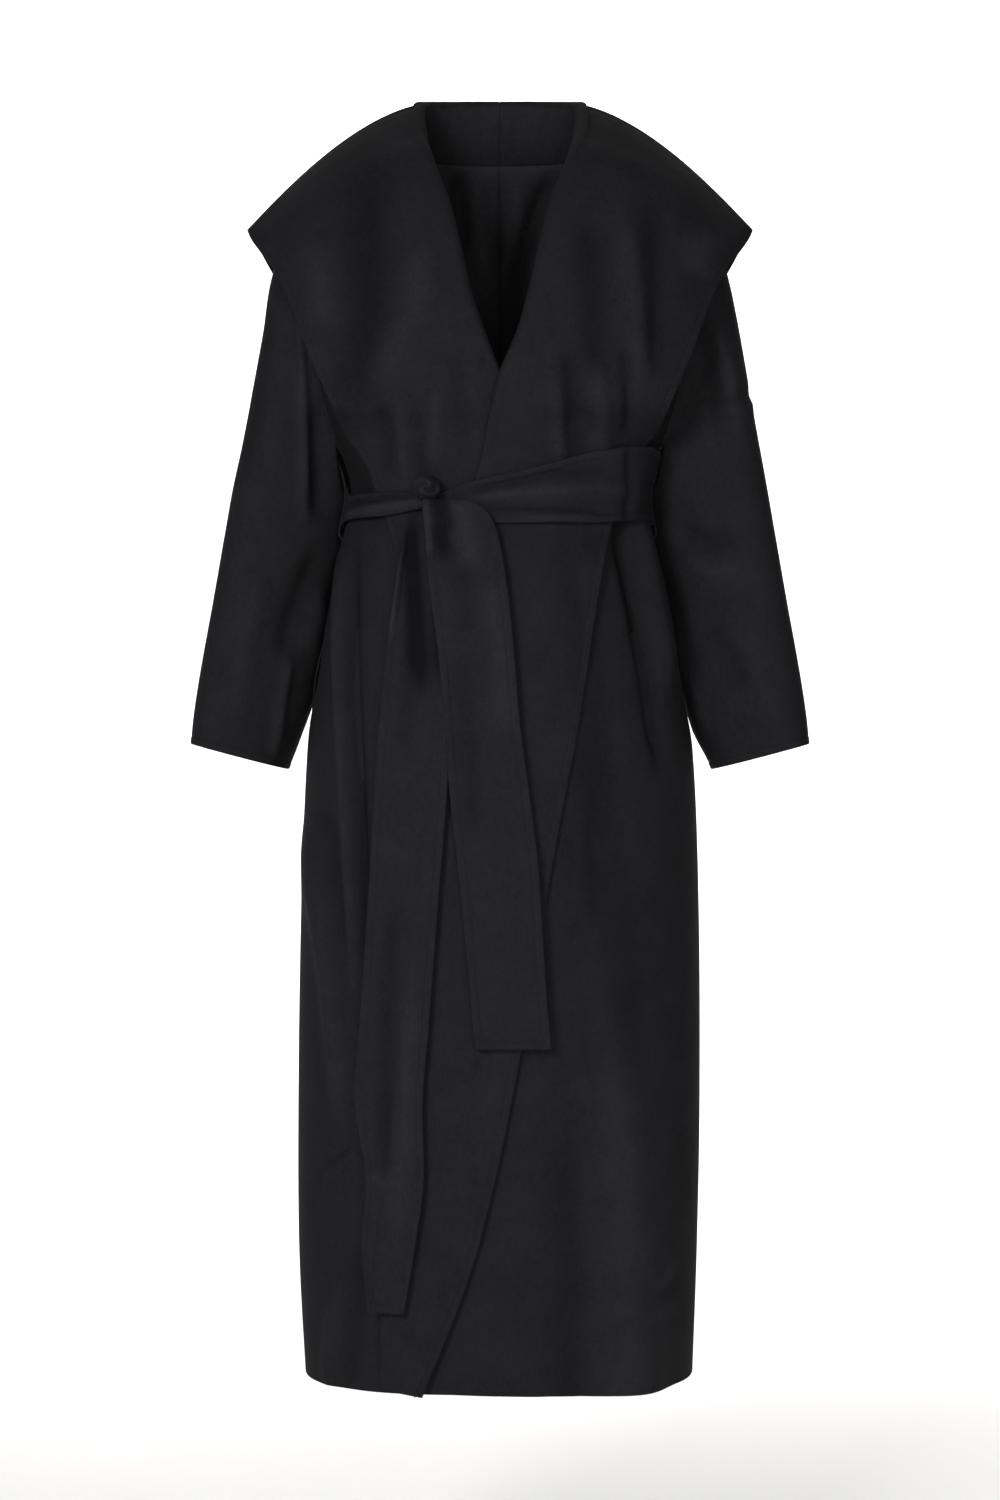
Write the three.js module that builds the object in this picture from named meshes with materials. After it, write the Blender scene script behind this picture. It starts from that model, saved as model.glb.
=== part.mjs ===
// A long hooded wrap coat in black double-faced wool, filled out as if worn, with a tie belt.
//
// Millimetres, +Z up. The wearer faces -Y, and +X is the wearer's left. The origin lies at the
// base of the neck between the shoulders, where the wearer holds the coat up.
//
// The body is a superellipse at every height. Each front is cut in one with its lapel: a section
// runs from the outer seam round the body to the roll line, turns back on itself and ends at the
// free edge. Every piece of cloth is a mid surface, given its thickness by wall().

import * as THREE from 'three';

// Driving dimensions

const CLOTH = 2.5; // thickness of the double-faced wool
const SEAM = 0.4; // space between two pieces that are sewn together
const RIDGE_SEAM = 1.7; // the same along the shoulder, where the cloth turns sharply
const HOOD_SEAM = 0.9; // the same down the hood's centre
const ROUNDNESS = 2.3; // superellipse exponent of the body's sections
const LAYER = 5.5; // from one layer of cloth to the next on the front of the skirt
const LAYER_AT_BELT = 3.4; // the same where the belt presses the layers together
const WAIST = -343; // height of the belt's middle
const BELT_REACH = 60; // how far above and below the waist the belt presses
const BELT_PRESS = 78; // how far the lapel's leaf is held down there, easing off over the last of it
const BELT_EASE = 30;
const ARMHOLE_TOP = -75;
const ARMHOLE_BOTTOM = -296;
const HEM = -1218;
const NECK_SEAM = -3;

// Grid counts: columns across a piece and rows along it

const PANEL_COLUMNS = 15;
const FOLD_COLUMNS = 3;
const LEAF_COLUMNS = 6;
const FRONT_ROWS = 31;
const BACK_COLUMNS = 9;
const BACK_ROWS = 24;
const HOOD_ROWS = 8;
const HOOD_STAND_COLUMNS = 2;
const HOOD_LEAF_COLUMNS = 8;
const HOOD_CURL_COLUMNS = 4;
const SLEEVE_SIDES = 18;
const SLEEVE_ROWS = 16;
const BELT_COLUMNS = 4;

// The body's half sections: half-width on the wearer's left and right, depth in front and behind
const BODY = table(
  ['z', 'left', 'right', 'front', 'back', 'middle'],
  [62, 75, 75, 72, 57, 15],
  [49, 76, 76, 74, 57, 15],
  [17, 80, 80, 79, 56, 12],
  [-5, 87, 87, 80, 55, 10],
  [-38, 138, 138, 84, 80, 10],
  [-75, 198, 198, 98, 100, 8],
  [-120, 202, 202, 114, 112, 6],
  [-170, 200, 200, 126, 118, 4],
  [-220, 191, 191, 132, 118, 2],
  [-260, 176, 176, 130, 112, 0],
  [-300, 158, 159, 120, 103, 0],
  [-340, 145, 148, 113, 96, 0],
  [-383, 149, 154, 117, 100, 0],
  [-450, 166, 168, 132, 113, 0],
  [-540, 181, 184, 145, 127, 0],
  [-600, 191, 191, 149, 131, 0],
  [-750, 197, 197, 151, 134, 0],
  [-950, 198, 200, 154, 138, 0],
  [-1100, 195, 199, 156, 141, 0],
  [-1230, 190, 192, 157, 142, 0],
);

// The armhole: how far round the body its edge is cut, in degrees from the side
const ARMHOLE = table(
  ['z', 'cut'],
  [-75, 0],
  [-95, 12],
  [-130, 21],
  [-180, 25],
  [-230, 21],
  [-270, 11],
  [-296, 0],
);

// The lapel: where each row of a front leaves its outer seam, its roll line, and its free edge.
// seam is the height at the outer seam, rise shapes the way up to the roll line, and puff lifts
// the middle of the leaf off a straight line, forwards and upwards.
const LAPEL = table(
  ['row', 'seam', 'rollX', 'rollZ', 'radius', 'rise', 'edgeX', 'edgeY', 'edgeZ', 'puff', 'puffUp'],
  [0, -5, 77, 49, 4.5, 1, 253, 5, -80, 0, 23],
  [1, -38, 74, 18, 7, 2.2, 248, -12, -91, 16, 16],
  [2, -75, 60, -35, 9, 1.8, 240, -27, -103, 24, 9],
  [3, -100, 50, -66, 9, 1.5, 230, -44, -117, 24, 3],
  [4, -128, 42, -96, 9, 1.3, 218, -60, -135, 22, 0],
  [5, -175, 27, -160, 9, 1, 202, -85, -171, 18, 0],
  [6, -215, 13, -203, 8, 1, 186, -103, -215, 15, 0],
  [7, -250, 0, -239, 6, 1, 171, -110, -251, 13, 0],
  [8, -285, -10, -280, 4, 1, 155, -104, -285, 10, 0],
  [9, -320, -18, -320, 2, 1, 132, -92, -318, 8, 0],
  [10, -347, -26, -349, 1.7, 1, 122, -90, -346, 8, 0],
  [11, -385, -30, -385, 1.9, 1, 108, -106, -384, 8, 0],
  [12, -457, -38, -457, 2.6, 1, 94, -128, -457, 6, 0],
  [13, -571, -51, -571, 2.75, 1, 76, -152, -571, 4, 0],
  [14, -705, -66, -705, 2.75, 1, 51, -162, -705, 3, 0],
  [15, -883, -86, -883, 2.75, 1, 21, -170, -883, 2, 0],
  [16, -1013, -100, -1013, 2.75, 1, -5, -173, -1013, 1, 0],
  [17, -1110, -111, -1110, 2.75, 1, -32, -174, -1110, 0, 0],
  [18, HEM, -113, -1211, 2.75, 2.5, -74, -174, -1215, 0, 0],
);

// The hood lies folded down over the shoulders. Its rows go from the shoulder ridge round to the
// centre back: neck seam, roll line, lower edge, the lift of the leaf's middle, and its turn-under.
const HOOD = table(
  ['row', 'seamX', 'seamY', 'rollX', 'rollY', 'rollZ', 'radius', 'edgeX', 'edgeY', 'edgeZ', 'puff', 'puffUp', 'curl'],
  [0, 87, 10, 77, 15, 49, 4.5, 253, 5, -80, 0, 23, 0],
  [1, 78, 36, 70, 37, 54, 6.5, 224, 66, -140, 16, 22, 0.35],
  [2, 58, 53, 50, 58, 59, 8, 186, 106, -222, 24, 18, 0.9],
  [3, 30, 62, 26, 68, 62, 8, 106, 136, -282, 28, 14, 1],
  [4, 0, 65, 0, 72, 63, 8, 0, 146, -306, 30, 12, 1],
);
const RIDGE_DRAW = 7; // how far the shoulder ridge is drawn in from an even curve
const HOOD_CURL_LENGTH = 48; // cloth in the turn-under along the hood's lower fold
const HOOD_EDGE_LENGTH = 6; // the same where the edge is still flat, at the shoulder

// The sleeve's rings: outer and inner ends, half depths in front and behind, middle in depth, and
// how far the inner end leans back behind the body's side
const SLEEVE = table(
  ['row', 'outerX', 'outerZ', 'innerX', 'innerZ', 'front', 'back', 'middle', 'lean'],
  [0, 203, -76, 168, -298, 57, 58, 5, 0],
  [1, 215, -93, 169, -309, 59, 60, 5, 16],
  [2, 227, -128, 163, -324, 61, 62, 4, 36],
  [3, 238, -182, 153, -343, 61, 62, 2, 50],
  [4, 251, -258, 155.5, -372, 60, 61, 0, 52],
  [5, 263, -325, 156, -398, 59, 60, -3, 50],
  [6, 274, -390, 165, -434, 57, 58, -7, 48],
  [7, 285, -455, 175, -481, 56, 57, -11, 48],
  [8, 296, -517, 186, -540, 55, 56, -14, 48],
  [9, 303, -563, 203, -590, 54, 55, -16, 44],
  [10, 306, -594, 214, -619, 53, 54, -17, 40],
);
const SLEEVE_START = CLOTH + SEAM + 0.3; // from the armhole's edge to the first ring

// The belt's stretches round the waist, by angle from the centre front: upper and lower edge
const BELT_LEFT = table(
  ['angle', 'top', 'bottom'],
  [-19, -352, -376],
  [0, -335, -382],
  [16, -322, -381],
  [32, -310, -380],
  [60, -303, -375],
  [90, -308, -374],
  [135, -307, -378],
  [180, -305, -380],
);
const BELT_RIGHT = table(
  ['angle', 'top', 'bottom'],
  [31, -349, -368],
  [38, -349, -372],
  [48, -349, -373],
  [60, -349, -373],
  [74, -348, -374],
  [90, -338, -376],
  [112, -318, -379],
  [135, -307, -379],
  [180, -305, -380],
);

// The belt's two hanging ends: left and right edge at each height, and depth of the hang
const TAIL_OVER = table(
  ['z', 'left', 'right'],
  [-358.5, -74, -38],
  [-367, -74, -18],
  [-377, -73, -8],
  [-398, -71, -1],
  [-435, -69, 6],
  [-500, -60, 13],
  [-572, -53, 19],
  [-640, -48, 28],
  [-704, -41, 36],
  [-762, -35, 40],
  [-840, -28, 45],
  [-884, -24, 49],
);
const TAIL_UNDER = table(
  ['z', 'left', 'right'],
  [-372, -88, -52],
  [-415, -96, -50],
  [-470, -104, -48],
  [-558, -114, -47],
  [-640, -120, -50],
  [-742, -126, -58],
  [-860, -134, -67],
  [-935, -139, -73],
  [-1010, -128, -72],
  [-1070, -132, -80],
  [-1136, -126, -91],
);
const BELT_SLACK = 2; // between the belt and the cloth under it, beyond the layers' own spacing
const TAIL_UNDER_OUT = 22.5; // from the body's own surface to each tail
const TAIL_OVER_OUT = 26.1;
const TAIL_ROWS = 18;

// The belt's knot, a soft lump that both ends leave
const KNOT = { x: -70, z: -347, wide: 15, high: 12, deep: 13.5, off: 3.4 };

// The largest folds of the skirt, by height: depth out, spread, and where each one runs
const FRONT_FOLDS = {
  left: [
    fold(-6, 13, [-372, 112], [-438, 123], [-530, 148], [-620, 158]),
    fold(5, 12, [-372, 134], [-438, 146], [-530, 170], [-620, 180]),
  ],
  right: [
    fold(4, 12, [-380, 160], [-493, 160], [-622, 153], [-746, 145], [-870, 138]),
    fold(-4, 14, [-390, 140], [-493, 138], [-622, 131], [-746, 122], [-870, 114]),
  ],
};
const BACK_FOLDS = {
  left: [
    fold(5, 26, [-460, 54], [-760, 60], [-1300, 68]),
    fold(-5, 26, [-460, 100], [-760, 108], [-1300, 120]),
  ],
  right: [
    fold(4.5, 26, [-480, 46], [-780, 54], [-1300, 60]),
    fold(-4.5, 24, [-460, 92], [-760, 100], [-1300, 114]),
  ],
};

// The pocket bag hangs inside the side seam, behind its mouth
const POCKET = { top: -468, bottom: -640, reach: 62, gape: 2.4, lip: 6, inside: 10 };
const POCKET_SIDES = 12;
const POCKET_ROWS = 7;

// The belt loop, a narrow strap over the belt at the side seam
const LOOP = { top: -300, bottom: -391, width: 5, thick: 1.6 };

// Tables and curves

function table(names, ...rows) {
  return rows.map((row) => Object.fromEntries(names.map((name, i) => [name, row[i]])));
}

// A soft fold: how far out, how wide, and its distance from the centre plane at several heights
function fold(out, spread, ...rows) {
  return { out, spread, path: table(['z', 'x'], ...rows) };
}

// A smooth curve through one column of a table, with another column as its argument
function track(rows, by, name) {
  const at = rows.map((row) => row[by]);
  const value = rows.map((row) => row[name]);
  const last = at.length - 1;
  const slope = value.map((_, i) => {
    const before = Math.max(i - 1, 0);
    const after = Math.min(i + 1, last);
    return (value[after] - value[before]) / (at[after] - at[before]);
  });
  const sign = Math.sign(at[last] - at[0]);
  return (where) => {
    let i = 0;
    while (i < last - 1 && sign * (where - at[i + 1]) > 0) i += 1;
    const span = at[i + 1] - at[i];
    const t = THREE.MathUtils.clamp((where - at[i]) / span, 0, 1);
    const [t2, t3] = [t * t, t * t * t];
    return (2 * t3 - 3 * t2 + 1) * value[i] + (t3 - 2 * t2 + t) * span * slope[i]
      + (3 * t2 - 2 * t3) * value[i + 1] + (t3 - t2) * span * slope[i + 1];
  };
}

function tracks(rows, by) {
  const names = Object.keys(rows[0]).filter((name) => name !== by);
  return Object.fromEntries(names.map((name) => [name, track(rows, by, name)]));
}

const lerp = THREE.MathUtils.lerp;
const radians = THREE.MathUtils.degToRad;
const smooth = (x) => THREE.MathUtils.smoothstep(x, 0, 1);
const range = (count) => Array.from({ length: count }, (_, i) => i);
const point = (x, y, z) => new THREE.Vector3(x, y, z);

const body = tracks(BODY, 'z');
const lapel = tracks(LAPEL, 'row');
const hood = tracks(HOOD, 'row');
const sleeve = tracks(SLEEVE, 'row');
const armholeCut = track(ARMHOLE, 'z', 'cut');
const leftFold = track(LAPEL.slice(1), 'rollZ', 'rollX');
const leafEdge = track(LAPEL.slice(2), 'edgeZ', 'edgeX');

// The body's surface

const root = (x) => Math.sign(x) * Math.abs(x) ** (2 / ROUNDNESS);

function halfWidth(z, x) {
  return x > 0 ? body.left(z) : body.right(z);
}

// A point of the body at an angle from its side: 90 degrees is the centre front or back
function onBody(side, facing, angle, z, out) {
  const across = root(Math.cos(angle));
  const wide = halfWidth(z, side * across) + out;
  const deep = (facing < 0 ? body.front(z) : body.back(z)) + out;
  return point(side * wide * across, body.middle(z) + facing * deep * root(Math.sin(angle)), z);
}

// The angle at which the body has a given distance from the centre plane
function angleAt(side, x, z, out) {
  const wide = halfWidth(z, x) + out;
  const share = THREE.MathUtils.clamp((side * x) / wide, -1, 1);
  return Math.acos(Math.sign(share) * Math.abs(share) ** (ROUNDNESS / 2));
}

function frontY(x, z, out) {
  return onBody(Math.sign(x) || 1, -1, angleAt(Math.sign(x) || 1, x, z, out), z, out).y;
}

// How far the skirt's folds push the cloth out at a place
function folded(folds, x, z) {
  return folds.reduce((sum, { out, spread, path }) => {
    const [top, bottom] = [path[0].z, path[path.length - 1].z];
    const fade = smooth((top - z) / 55) * smooth((z - bottom) / 70);
    return sum + out * fade * Math.exp(-(((x - track(path, 'z', 'x')(z)) / spread) ** 2));
  }, 0);
}

// Layers of cloth on the front

function layer(z) {
  return LAYER - (LAYER - LAYER_AT_BELT) * Math.exp(-(((z - WAIST) / BELT_REACH) ** 2));
}

// How far the left front stands out, because the right front and its lapel lie under it
function overlap(side, x, z) {
  if (side < 0) return 0;
  return 2 * layer(z) * smooth((60 - leftFold(z) - x) / 50) * smooth((-150 - z) / 60);
}

// Everything on the front at a place, for what lies on top of it all
function stack(x, z) {
  const leftCovers = smooth((x - leftFold(z) + 20) / 12);
  const leftLeaf = layer(z) * smooth((leafEdge(z) + 26 - x) / 20);
  const rightLeaf = layer(z) * smooth((x + leafEdge(z) + 26) / 20);
  return lerp(rightLeaf, overlap(1, x, z) + leftLeaf, leftCovers) + layer(z);
}

// Solids from grids

// Out-pointing directions of a grid of points, from its neighbours
function directions(rows, closed) {
  const last = rows.length - 1;
  return rows.map((row, i) => row.map((_, j) => {
    const count = row.length;
    const next = closed ? (j + 1) % count : Math.min(j + 1, count - 1);
    const back = closed ? (j - 1 + count) % count : Math.max(j - 1, 0);
    const along = rows[Math.min(i + 1, last)][j].clone().sub(rows[Math.max(i - 1, 0)][j]);
    const across = row[next].clone().sub(row[back]);
    return along.cross(across).normalize();
  }));
}

function solid(name, points, faces, color) {
  let volume = 0;
  for (const [a, b, c] of faces) {
    volume += points[a].dot(points[b].clone().cross(points[c]));
  }
  const turned = volume < 0 ? faces.map(([a, b, c]) => [a, c, b]) : faces;
  const geometry = new THREE.BufferGeometry();
  const flat = turned.flat().flatMap((i) => points[i].toArray());
  geometry.setAttribute('position', new THREE.Float32BufferAttribute(flat, 3));
  geometry.computeVertexNormals();
  const material = new THREE.MeshStandardMaterial({ color, roughness: 0.92, metalness: 0 });
  const mesh = new THREE.Mesh(geometry, material);
  mesh.name = name;
  return mesh;
}

// A wall of cloth: the grid moved out and in by half the thickness, closed round its edges
function wall(name, rows, color, { closed = false, thickness = CLOTH } = {}) {
  const out = directions(rows, closed);
  const across = rows[0].length;
  const count = rows.length * across;
  const layers = [0.5, -0.5].map((share) => rows.flatMap((row, i) => row.map(
    (p, j) => p.clone().addScaledVector(out[i][j], share * thickness),
  )));
  const at = (i, j) => i * across + (j % across);
  const faces = [];
  const quad = (a, b, c, d) => faces.push([a, b, c], [a, c, d]);
  const steps = closed ? across : across - 1;
  for (const i of range(rows.length - 1)) {
    for (const j of range(steps)) {
      quad(at(i, j), at(i, j + 1), at(i + 1, j + 1), at(i + 1, j));
      quad(count + at(i, j), count + at(i + 1, j), count + at(i + 1, j + 1), count + at(i, j + 1));
    }
  }
  const rim = (a, b) => quad(a, count + a, count + b, b);
  for (const j of range(steps)) {
    rim(at(0, j), at(0, j + 1));
    rim(at(rows.length - 1, j + 1), at(rows.length - 1, j));
  }
  if (!closed) {
    for (const i of range(rows.length - 1)) {
      rim(at(i + 1, 0), at(i, 0));
      rim(at(i, across - 1), at(i + 1, across - 1));
    }
  }
  return solid(name, layers.flat(), faces, color);
}

// Fronts

// The ridge over the shoulder is drawn in, less and less towards front and back
function ridgeDraw(row) {
  return RIDGE_DRAW * smooth(1 - row / 2.5);
}

// The seam's space at a height: wider from the shoulder up
function shoulderSeam(z) {
  return lerp(SEAM, RIDGE_SEAM, smooth((z + 70) / 30));
}

// One section of a front: from the outer seam to the roll line, round the fold, to the free edge
function frontSection(side, row) {
  const seam = lapel.seam(row);
  const start = radians(seam > ARMHOLE_BOTTOM && seam < ARMHOLE_TOP ? armholeCut(seam) : 0);
  const rollX = side * lapel.rollX(row);
  const rollZ = lapel.rollZ(row);
  const under = side < 0 ? smooth((-200 - rollZ) / 40) : 0;
  const radius = lerp(lapel.radius(row), layer(rollZ) / 2, under);
  const end = angleAt(side, rollX, rollZ, overlap(side, rollX, rollZ));

  const panelAt = (share) => {
    const angle = lerp(start, end, share);
    const z = lerp(seam, rollZ, share ** lapel.rise(row));
    const near = onBody(side, -1, angle, z, 0);
    const shown = smooth((side * near.x - leafEdge(z) - 4) / 16);
    const folds = shown * smooth(share * 8) * folded(FRONT_FOLDS[side > 0 ? 'left' : 'right'], side * near.x, z);
    const p = onBody(side, -1, angle, z, overlap(side, near.x, z) + folds);
    p.y -= shoulderSeam(z) / 2;
    return p;
  };
  const section = range(PANEL_COLUMNS + 1).map((i) => panelAt(i / PANEL_COLUMNS));

  // The fold turns from the panel's own direction back over its outside
  const tip = section[PANEL_COLUMNS];
  const ahead = tip.clone().sub(panelAt(0.96)).normalize();
  const outward = point(side * Math.cos(end), -Math.sin(end), 0)
    .addScaledVector(ahead, -ahead.dot(point(side * Math.cos(end), -Math.sin(end), 0)))
    .normalize();
  const base = tip.clone().addScaledVector(ahead, -radius);
  section[PANEL_COLUMNS] = base;
  for (const i of range(FOLD_COLUMNS)) {
    const turn = (Math.PI * (i + 1)) / FOLD_COLUMNS;
    section.push(base.clone()
      .addScaledVector(ahead, radius * Math.sin(turn))
      .addScaledVector(outward, radius * (1 - Math.cos(turn))));
  }

  // The leaf runs back to the free edge, in front of its own panel
  const from = section[section.length - 1];
  const to = point(side * lapel.edgeX(row), lapel.edgeY(row) - RIDGE_SEAM / 2, lapel.edgeZ(row));
  const lift = point(-2 * side * ridgeDraw(row), -2 * lapel.puff(row), 2 * lapel.puffUp(row));
  const middle = from.clone().lerp(to, 0.5).add(lift);
  const curve = new THREE.QuadraticBezierCurve3(from, middle, to);
  for (const i of range(LEAF_COLUMNS)) {
    section.push(onPanel(side, curve.getPoint((i + 1) / LEAF_COLUMNS)));
  }
  return section;
}

// Keeps a point of a leaf in front of its own panel, and a right one behind the left front
function onPanel(side, p) {
  const reach = Math.abs(p.x) / halfWidth(p.z, p.x);
  if (p.z > -100 || reach > 0.97) return p;
  const gap = layer(p.z);
  const flat = frontY(p.x, p.z, overlap(side, p.x, p.z) + gap) - SEAM / 2;
  const loose = Math.min(p.y, flat);
  const pressed = smooth((BELT_PRESS - Math.abs(p.z - WAIST)) / BELT_EASE);
  const covered = side < 0 ? smooth((p.x - leftFold(p.z) + 34) / 26) * smooth((-170 - p.z) / 40) : 0;
  return point(p.x, lerp(loose, flat, Math.max(covered, pressed)), p.z);
}

function front(side) {
  const last = LAPEL.length - 1;
  return range(FRONT_ROWS + 1).map((i) => frontSection(side, (last * i) / FRONT_ROWS));
}

// Backs, from the outer seam to the centre back seam

function back(side) {
  const last = LAPEL.length - 1;
  return range(BACK_ROWS + 1).map((i) => {
    const row = (last * i) / BACK_ROWS;
    const seam = lapel.seam(row);
    const start = radians(seam > ARMHOLE_BOTTOM && seam < ARMHOLE_TOP ? armholeCut(seam) : 0);
    return range(BACK_COLUMNS + 1).map((j) => {
      const share = j / BACK_COLUMNS;
      const z = lerp(seam, Math.min(seam * 1.02, NECK_SEAM), share ** 2);
      const angle = lerp(start, Math.PI / 2, share);
      const height = Math.max(z, HEM);
      const near = onBody(side, 1, angle, height, 0);
      const clear = smooth(share * 6) * smooth((1 - share) * 8);
      const folds = clear * folded(BACK_FOLDS[side > 0 ? 'left' : 'right'], side * near.x, height);
      const p = onBody(side, 1, angle, height, folds);
      return p.add(point((share * side * SEAM) / 2, ((1 - share) * shoulderSeam(z)) / 2, 0));
    });
  });
}

// Sleeves

// The armhole's own ring, just outside the edges of front and back
function armholeRing(side, turn) {
  const z = lerp(ARMHOLE_BOTTOM, ARMHOLE_TOP, (1 + Math.cos(turn)) / 2);
  const facing = Math.sin(turn) >= 0 ? -1 : 1;
  const edge = onBody(side, facing, radians(Math.max(armholeCut(z), 0)), z, 0);
  return edge.add(point(side * SLEEVE_START, 0, 0));
}

function sleeveRing(side, row) {
  const middle = sleeve.middle(row);
  const outer = point(side * sleeve.outerX(row), middle, sleeve.outerZ(row));
  const inner = point(side * sleeve.innerX(row), middle + sleeve.lean(row), sleeve.innerZ(row));
  const centre = outer.clone().lerp(inner, 0.5);
  const arm = outer.clone().sub(centre);
  return range(SLEEVE_SIDES).map((i) => {
    const turn = (2 * Math.PI * i) / SLEEVE_SIDES;
    const depth = Math.sin(turn) > 0 ? -sleeve.front(row) : sleeve.back(row);
    const ring = centre.clone().addScaledVector(arm, root(Math.cos(turn)));
    ring.y += depth * Math.abs(root(Math.sin(turn)));
    return armholeRing(side, turn).lerp(ring, smooth(row / 1.5));
  });
}

function sleeveRows(side) {
  const last = SLEEVE.length - 1;
  return range(SLEEVE_ROWS + 1).map((i) => sleeveRing(side, (last * i) / SLEEVE_ROWS));
}

// Hood

function hoodSection(side, row) {
  const seam = point(side * hood.seamX(row), hood.seamY(row), NECK_SEAM + CLOTH / 2 + 2 * SEAM);
  const roll = point(side * hood.rollX(row), hood.rollY(row), hood.rollZ(row));
  const section = range(HOOD_STAND_COLUMNS).map((i) => seam.clone().lerp(roll, i / HOOD_STAND_COLUMNS));

  const ahead = roll.clone().sub(seam).normalize();
  const facing = radians(lerp(0, 90, row / (HOOD.length - 1)));
  const outward = point(side * Math.cos(facing), Math.sin(facing), 0)
    .addScaledVector(ahead, -ahead.dot(point(side * Math.cos(facing), Math.sin(facing), 0)))
    .normalize();
  const radius = hood.radius(row);
  const base = roll.clone().addScaledVector(ahead, -radius);
  section.push(base);
  for (const i of range(FOLD_COLUMNS)) {
    const turn = (Math.PI * (i + 1)) / FOLD_COLUMNS;
    section.push(base.clone()
      .addScaledVector(ahead, radius * Math.sin(turn))
      .addScaledVector(outward, radius * (1 - Math.cos(turn))));
  }

  const from = section[section.length - 1];
  const to = point(side * hood.edgeX(row), hood.edgeY(row), hood.edgeZ(row));
  const lift = outward.clone().multiplyScalar(2 * hood.puff(row))
    .add(point(-2 * side * ridgeDraw(row), 0, 2 * hood.puffUp(row)));
  const middle = from.clone().lerp(to, 0.5).add(lift);
  const curve = new THREE.QuadraticBezierCurve3(from, middle, to);
  const curl = THREE.MathUtils.clamp(hood.curl(row), 0, 1);
  const turned = lerp(HOOD_EDGE_LENGTH, HOOD_CURL_LENGTH, curl);
  const stop = 1 - turned / curve.getLength() * lerp(1, 0.35, curl);
  for (const i of range(HOOD_LEAF_COLUMNS)) {
    section.push(curve.getPoint((stop * (i + 1)) / HOOD_LEAF_COLUMNS));
  }

  // The hood's lower fold turns under towards the back
  const edge = section[section.length - 1].clone();
  const down = curve.getTangent(stop);
  const inward = outward.clone().multiplyScalar(-1)
    .addScaledVector(down, outward.dot(down)).normalize();
  const full = Math.max(curl, 0.01) * Math.PI;
  const bend = turned / full;
  for (const i of range(HOOD_CURL_COLUMNS)) {
    const turn = (full * (i + 1)) / HOOD_CURL_COLUMNS;
    section.push(edge.clone()
      .addScaledVector(down, bend * Math.sin(turn))
      .addScaledVector(inward, bend * (1 - Math.cos(turn))));
  }
  const seamShare = row / (HOOD.length - 1);
  const apart = point((seamShare * side * HOOD_SEAM) / 2, ((1 - seamShare) * RIDGE_SEAM) / 2, 0);
  return section.map((p) => p.add(apart));
}

function hoodRows(side) {
  const last = HOOD.length - 1;
  return range(HOOD_ROWS + 1).map((i) => hoodSection(side, (last * i) / HOOD_ROWS));
}

// Belt

function beltBand(side, rows, count) {
  const band = tracks(rows, 'angle');
  const first = rows[0].angle;
  return range(count + 1).map((i) => {
    const angle = lerp(first, 180, i / count);
    const facing = angle <= 90 ? -1 : 1;
    const round = radians(90 - Math.abs(angle));
    return range(BELT_COLUMNS + 1).map((j) => {
      const z = lerp(band.top(angle), band.bottom(angle), j / BELT_COLUMNS);
      const sideNow = angle < 0 ? -side : side;
      const bare = onBody(sideNow, facing, Math.abs(round), z, 0);
      const out = facing < 0 ? stack(bare.x, z) + BELT_SLACK : layer(z) + 1;
      const p = onBody(sideNow, facing, Math.abs(round), z, lerp(layer(z) + 1, out, smooth((75 - angle) / 15)));
      p.x += angle > 90 ? (side * SEAM * (angle - 90)) / 180 : 0;
      return p;
    });
  });
}

function tail(rows, out) {
  const strip = tracks(rows, 'z');
  const top = rows[0].z;
  const bottom = rows[rows.length - 1].z;
  return range(TAIL_ROWS + 1).map((i) => {
    const z = lerp(top, bottom, i / TAIL_ROWS);
    return range(BELT_COLUMNS + 1).map((j) => {
      const x = lerp(strip.left(z), strip.right(z), j / BELT_COLUMNS);
      return point(x, frontY(x, z, out) - 3, z);
    });
  });
}

// The knot is a smooth lump, closed at its two ends
function knot(name, color) {
  const rings = 7;
  const sides = 12;
  const centre = point(KNOT.x, frontY(KNOT.x, KNOT.z, 2 * LAYER_AT_BELT) - KNOT.deep - KNOT.off, KNOT.z);
  const points = [centre.clone().add(point(-KNOT.wide, 0, 0))];
  for (const i of range(rings)) {
    const slant = (Math.PI * (i + 1)) / (rings + 1);
    const girth = Math.sin(slant) ** 0.7;
    for (const j of range(sides)) {
      const turn = (2 * Math.PI * j) / sides;
      points.push(centre.clone().add(point(
        -KNOT.wide * Math.cos(slant),
        KNOT.deep * girth * root(Math.sin(turn)),
        KNOT.high * girth * root(Math.cos(turn)),
      )));
    }
  }
  points.push(centre.clone().add(point(KNOT.wide, 0, 0)));
  const faces = [];
  const at = (i, j) => 1 + i * sides + (j % sides);
  const end = points.length - 1;
  for (const j of range(sides)) {
    faces.push([0, at(0, j + 1), at(0, j)], [end, at(rings - 1, j), at(rings - 1, j + 1)]);
    for (const i of range(rings - 1)) {
      faces.push([at(i, j), at(i, j + 1), at(i + 1, j + 1)], [at(i, j), at(i + 1, j + 1), at(i + 1, j)]);
    }
  }
  return solid(name, points, faces, color);
}

// Pockets and belt loops

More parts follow.
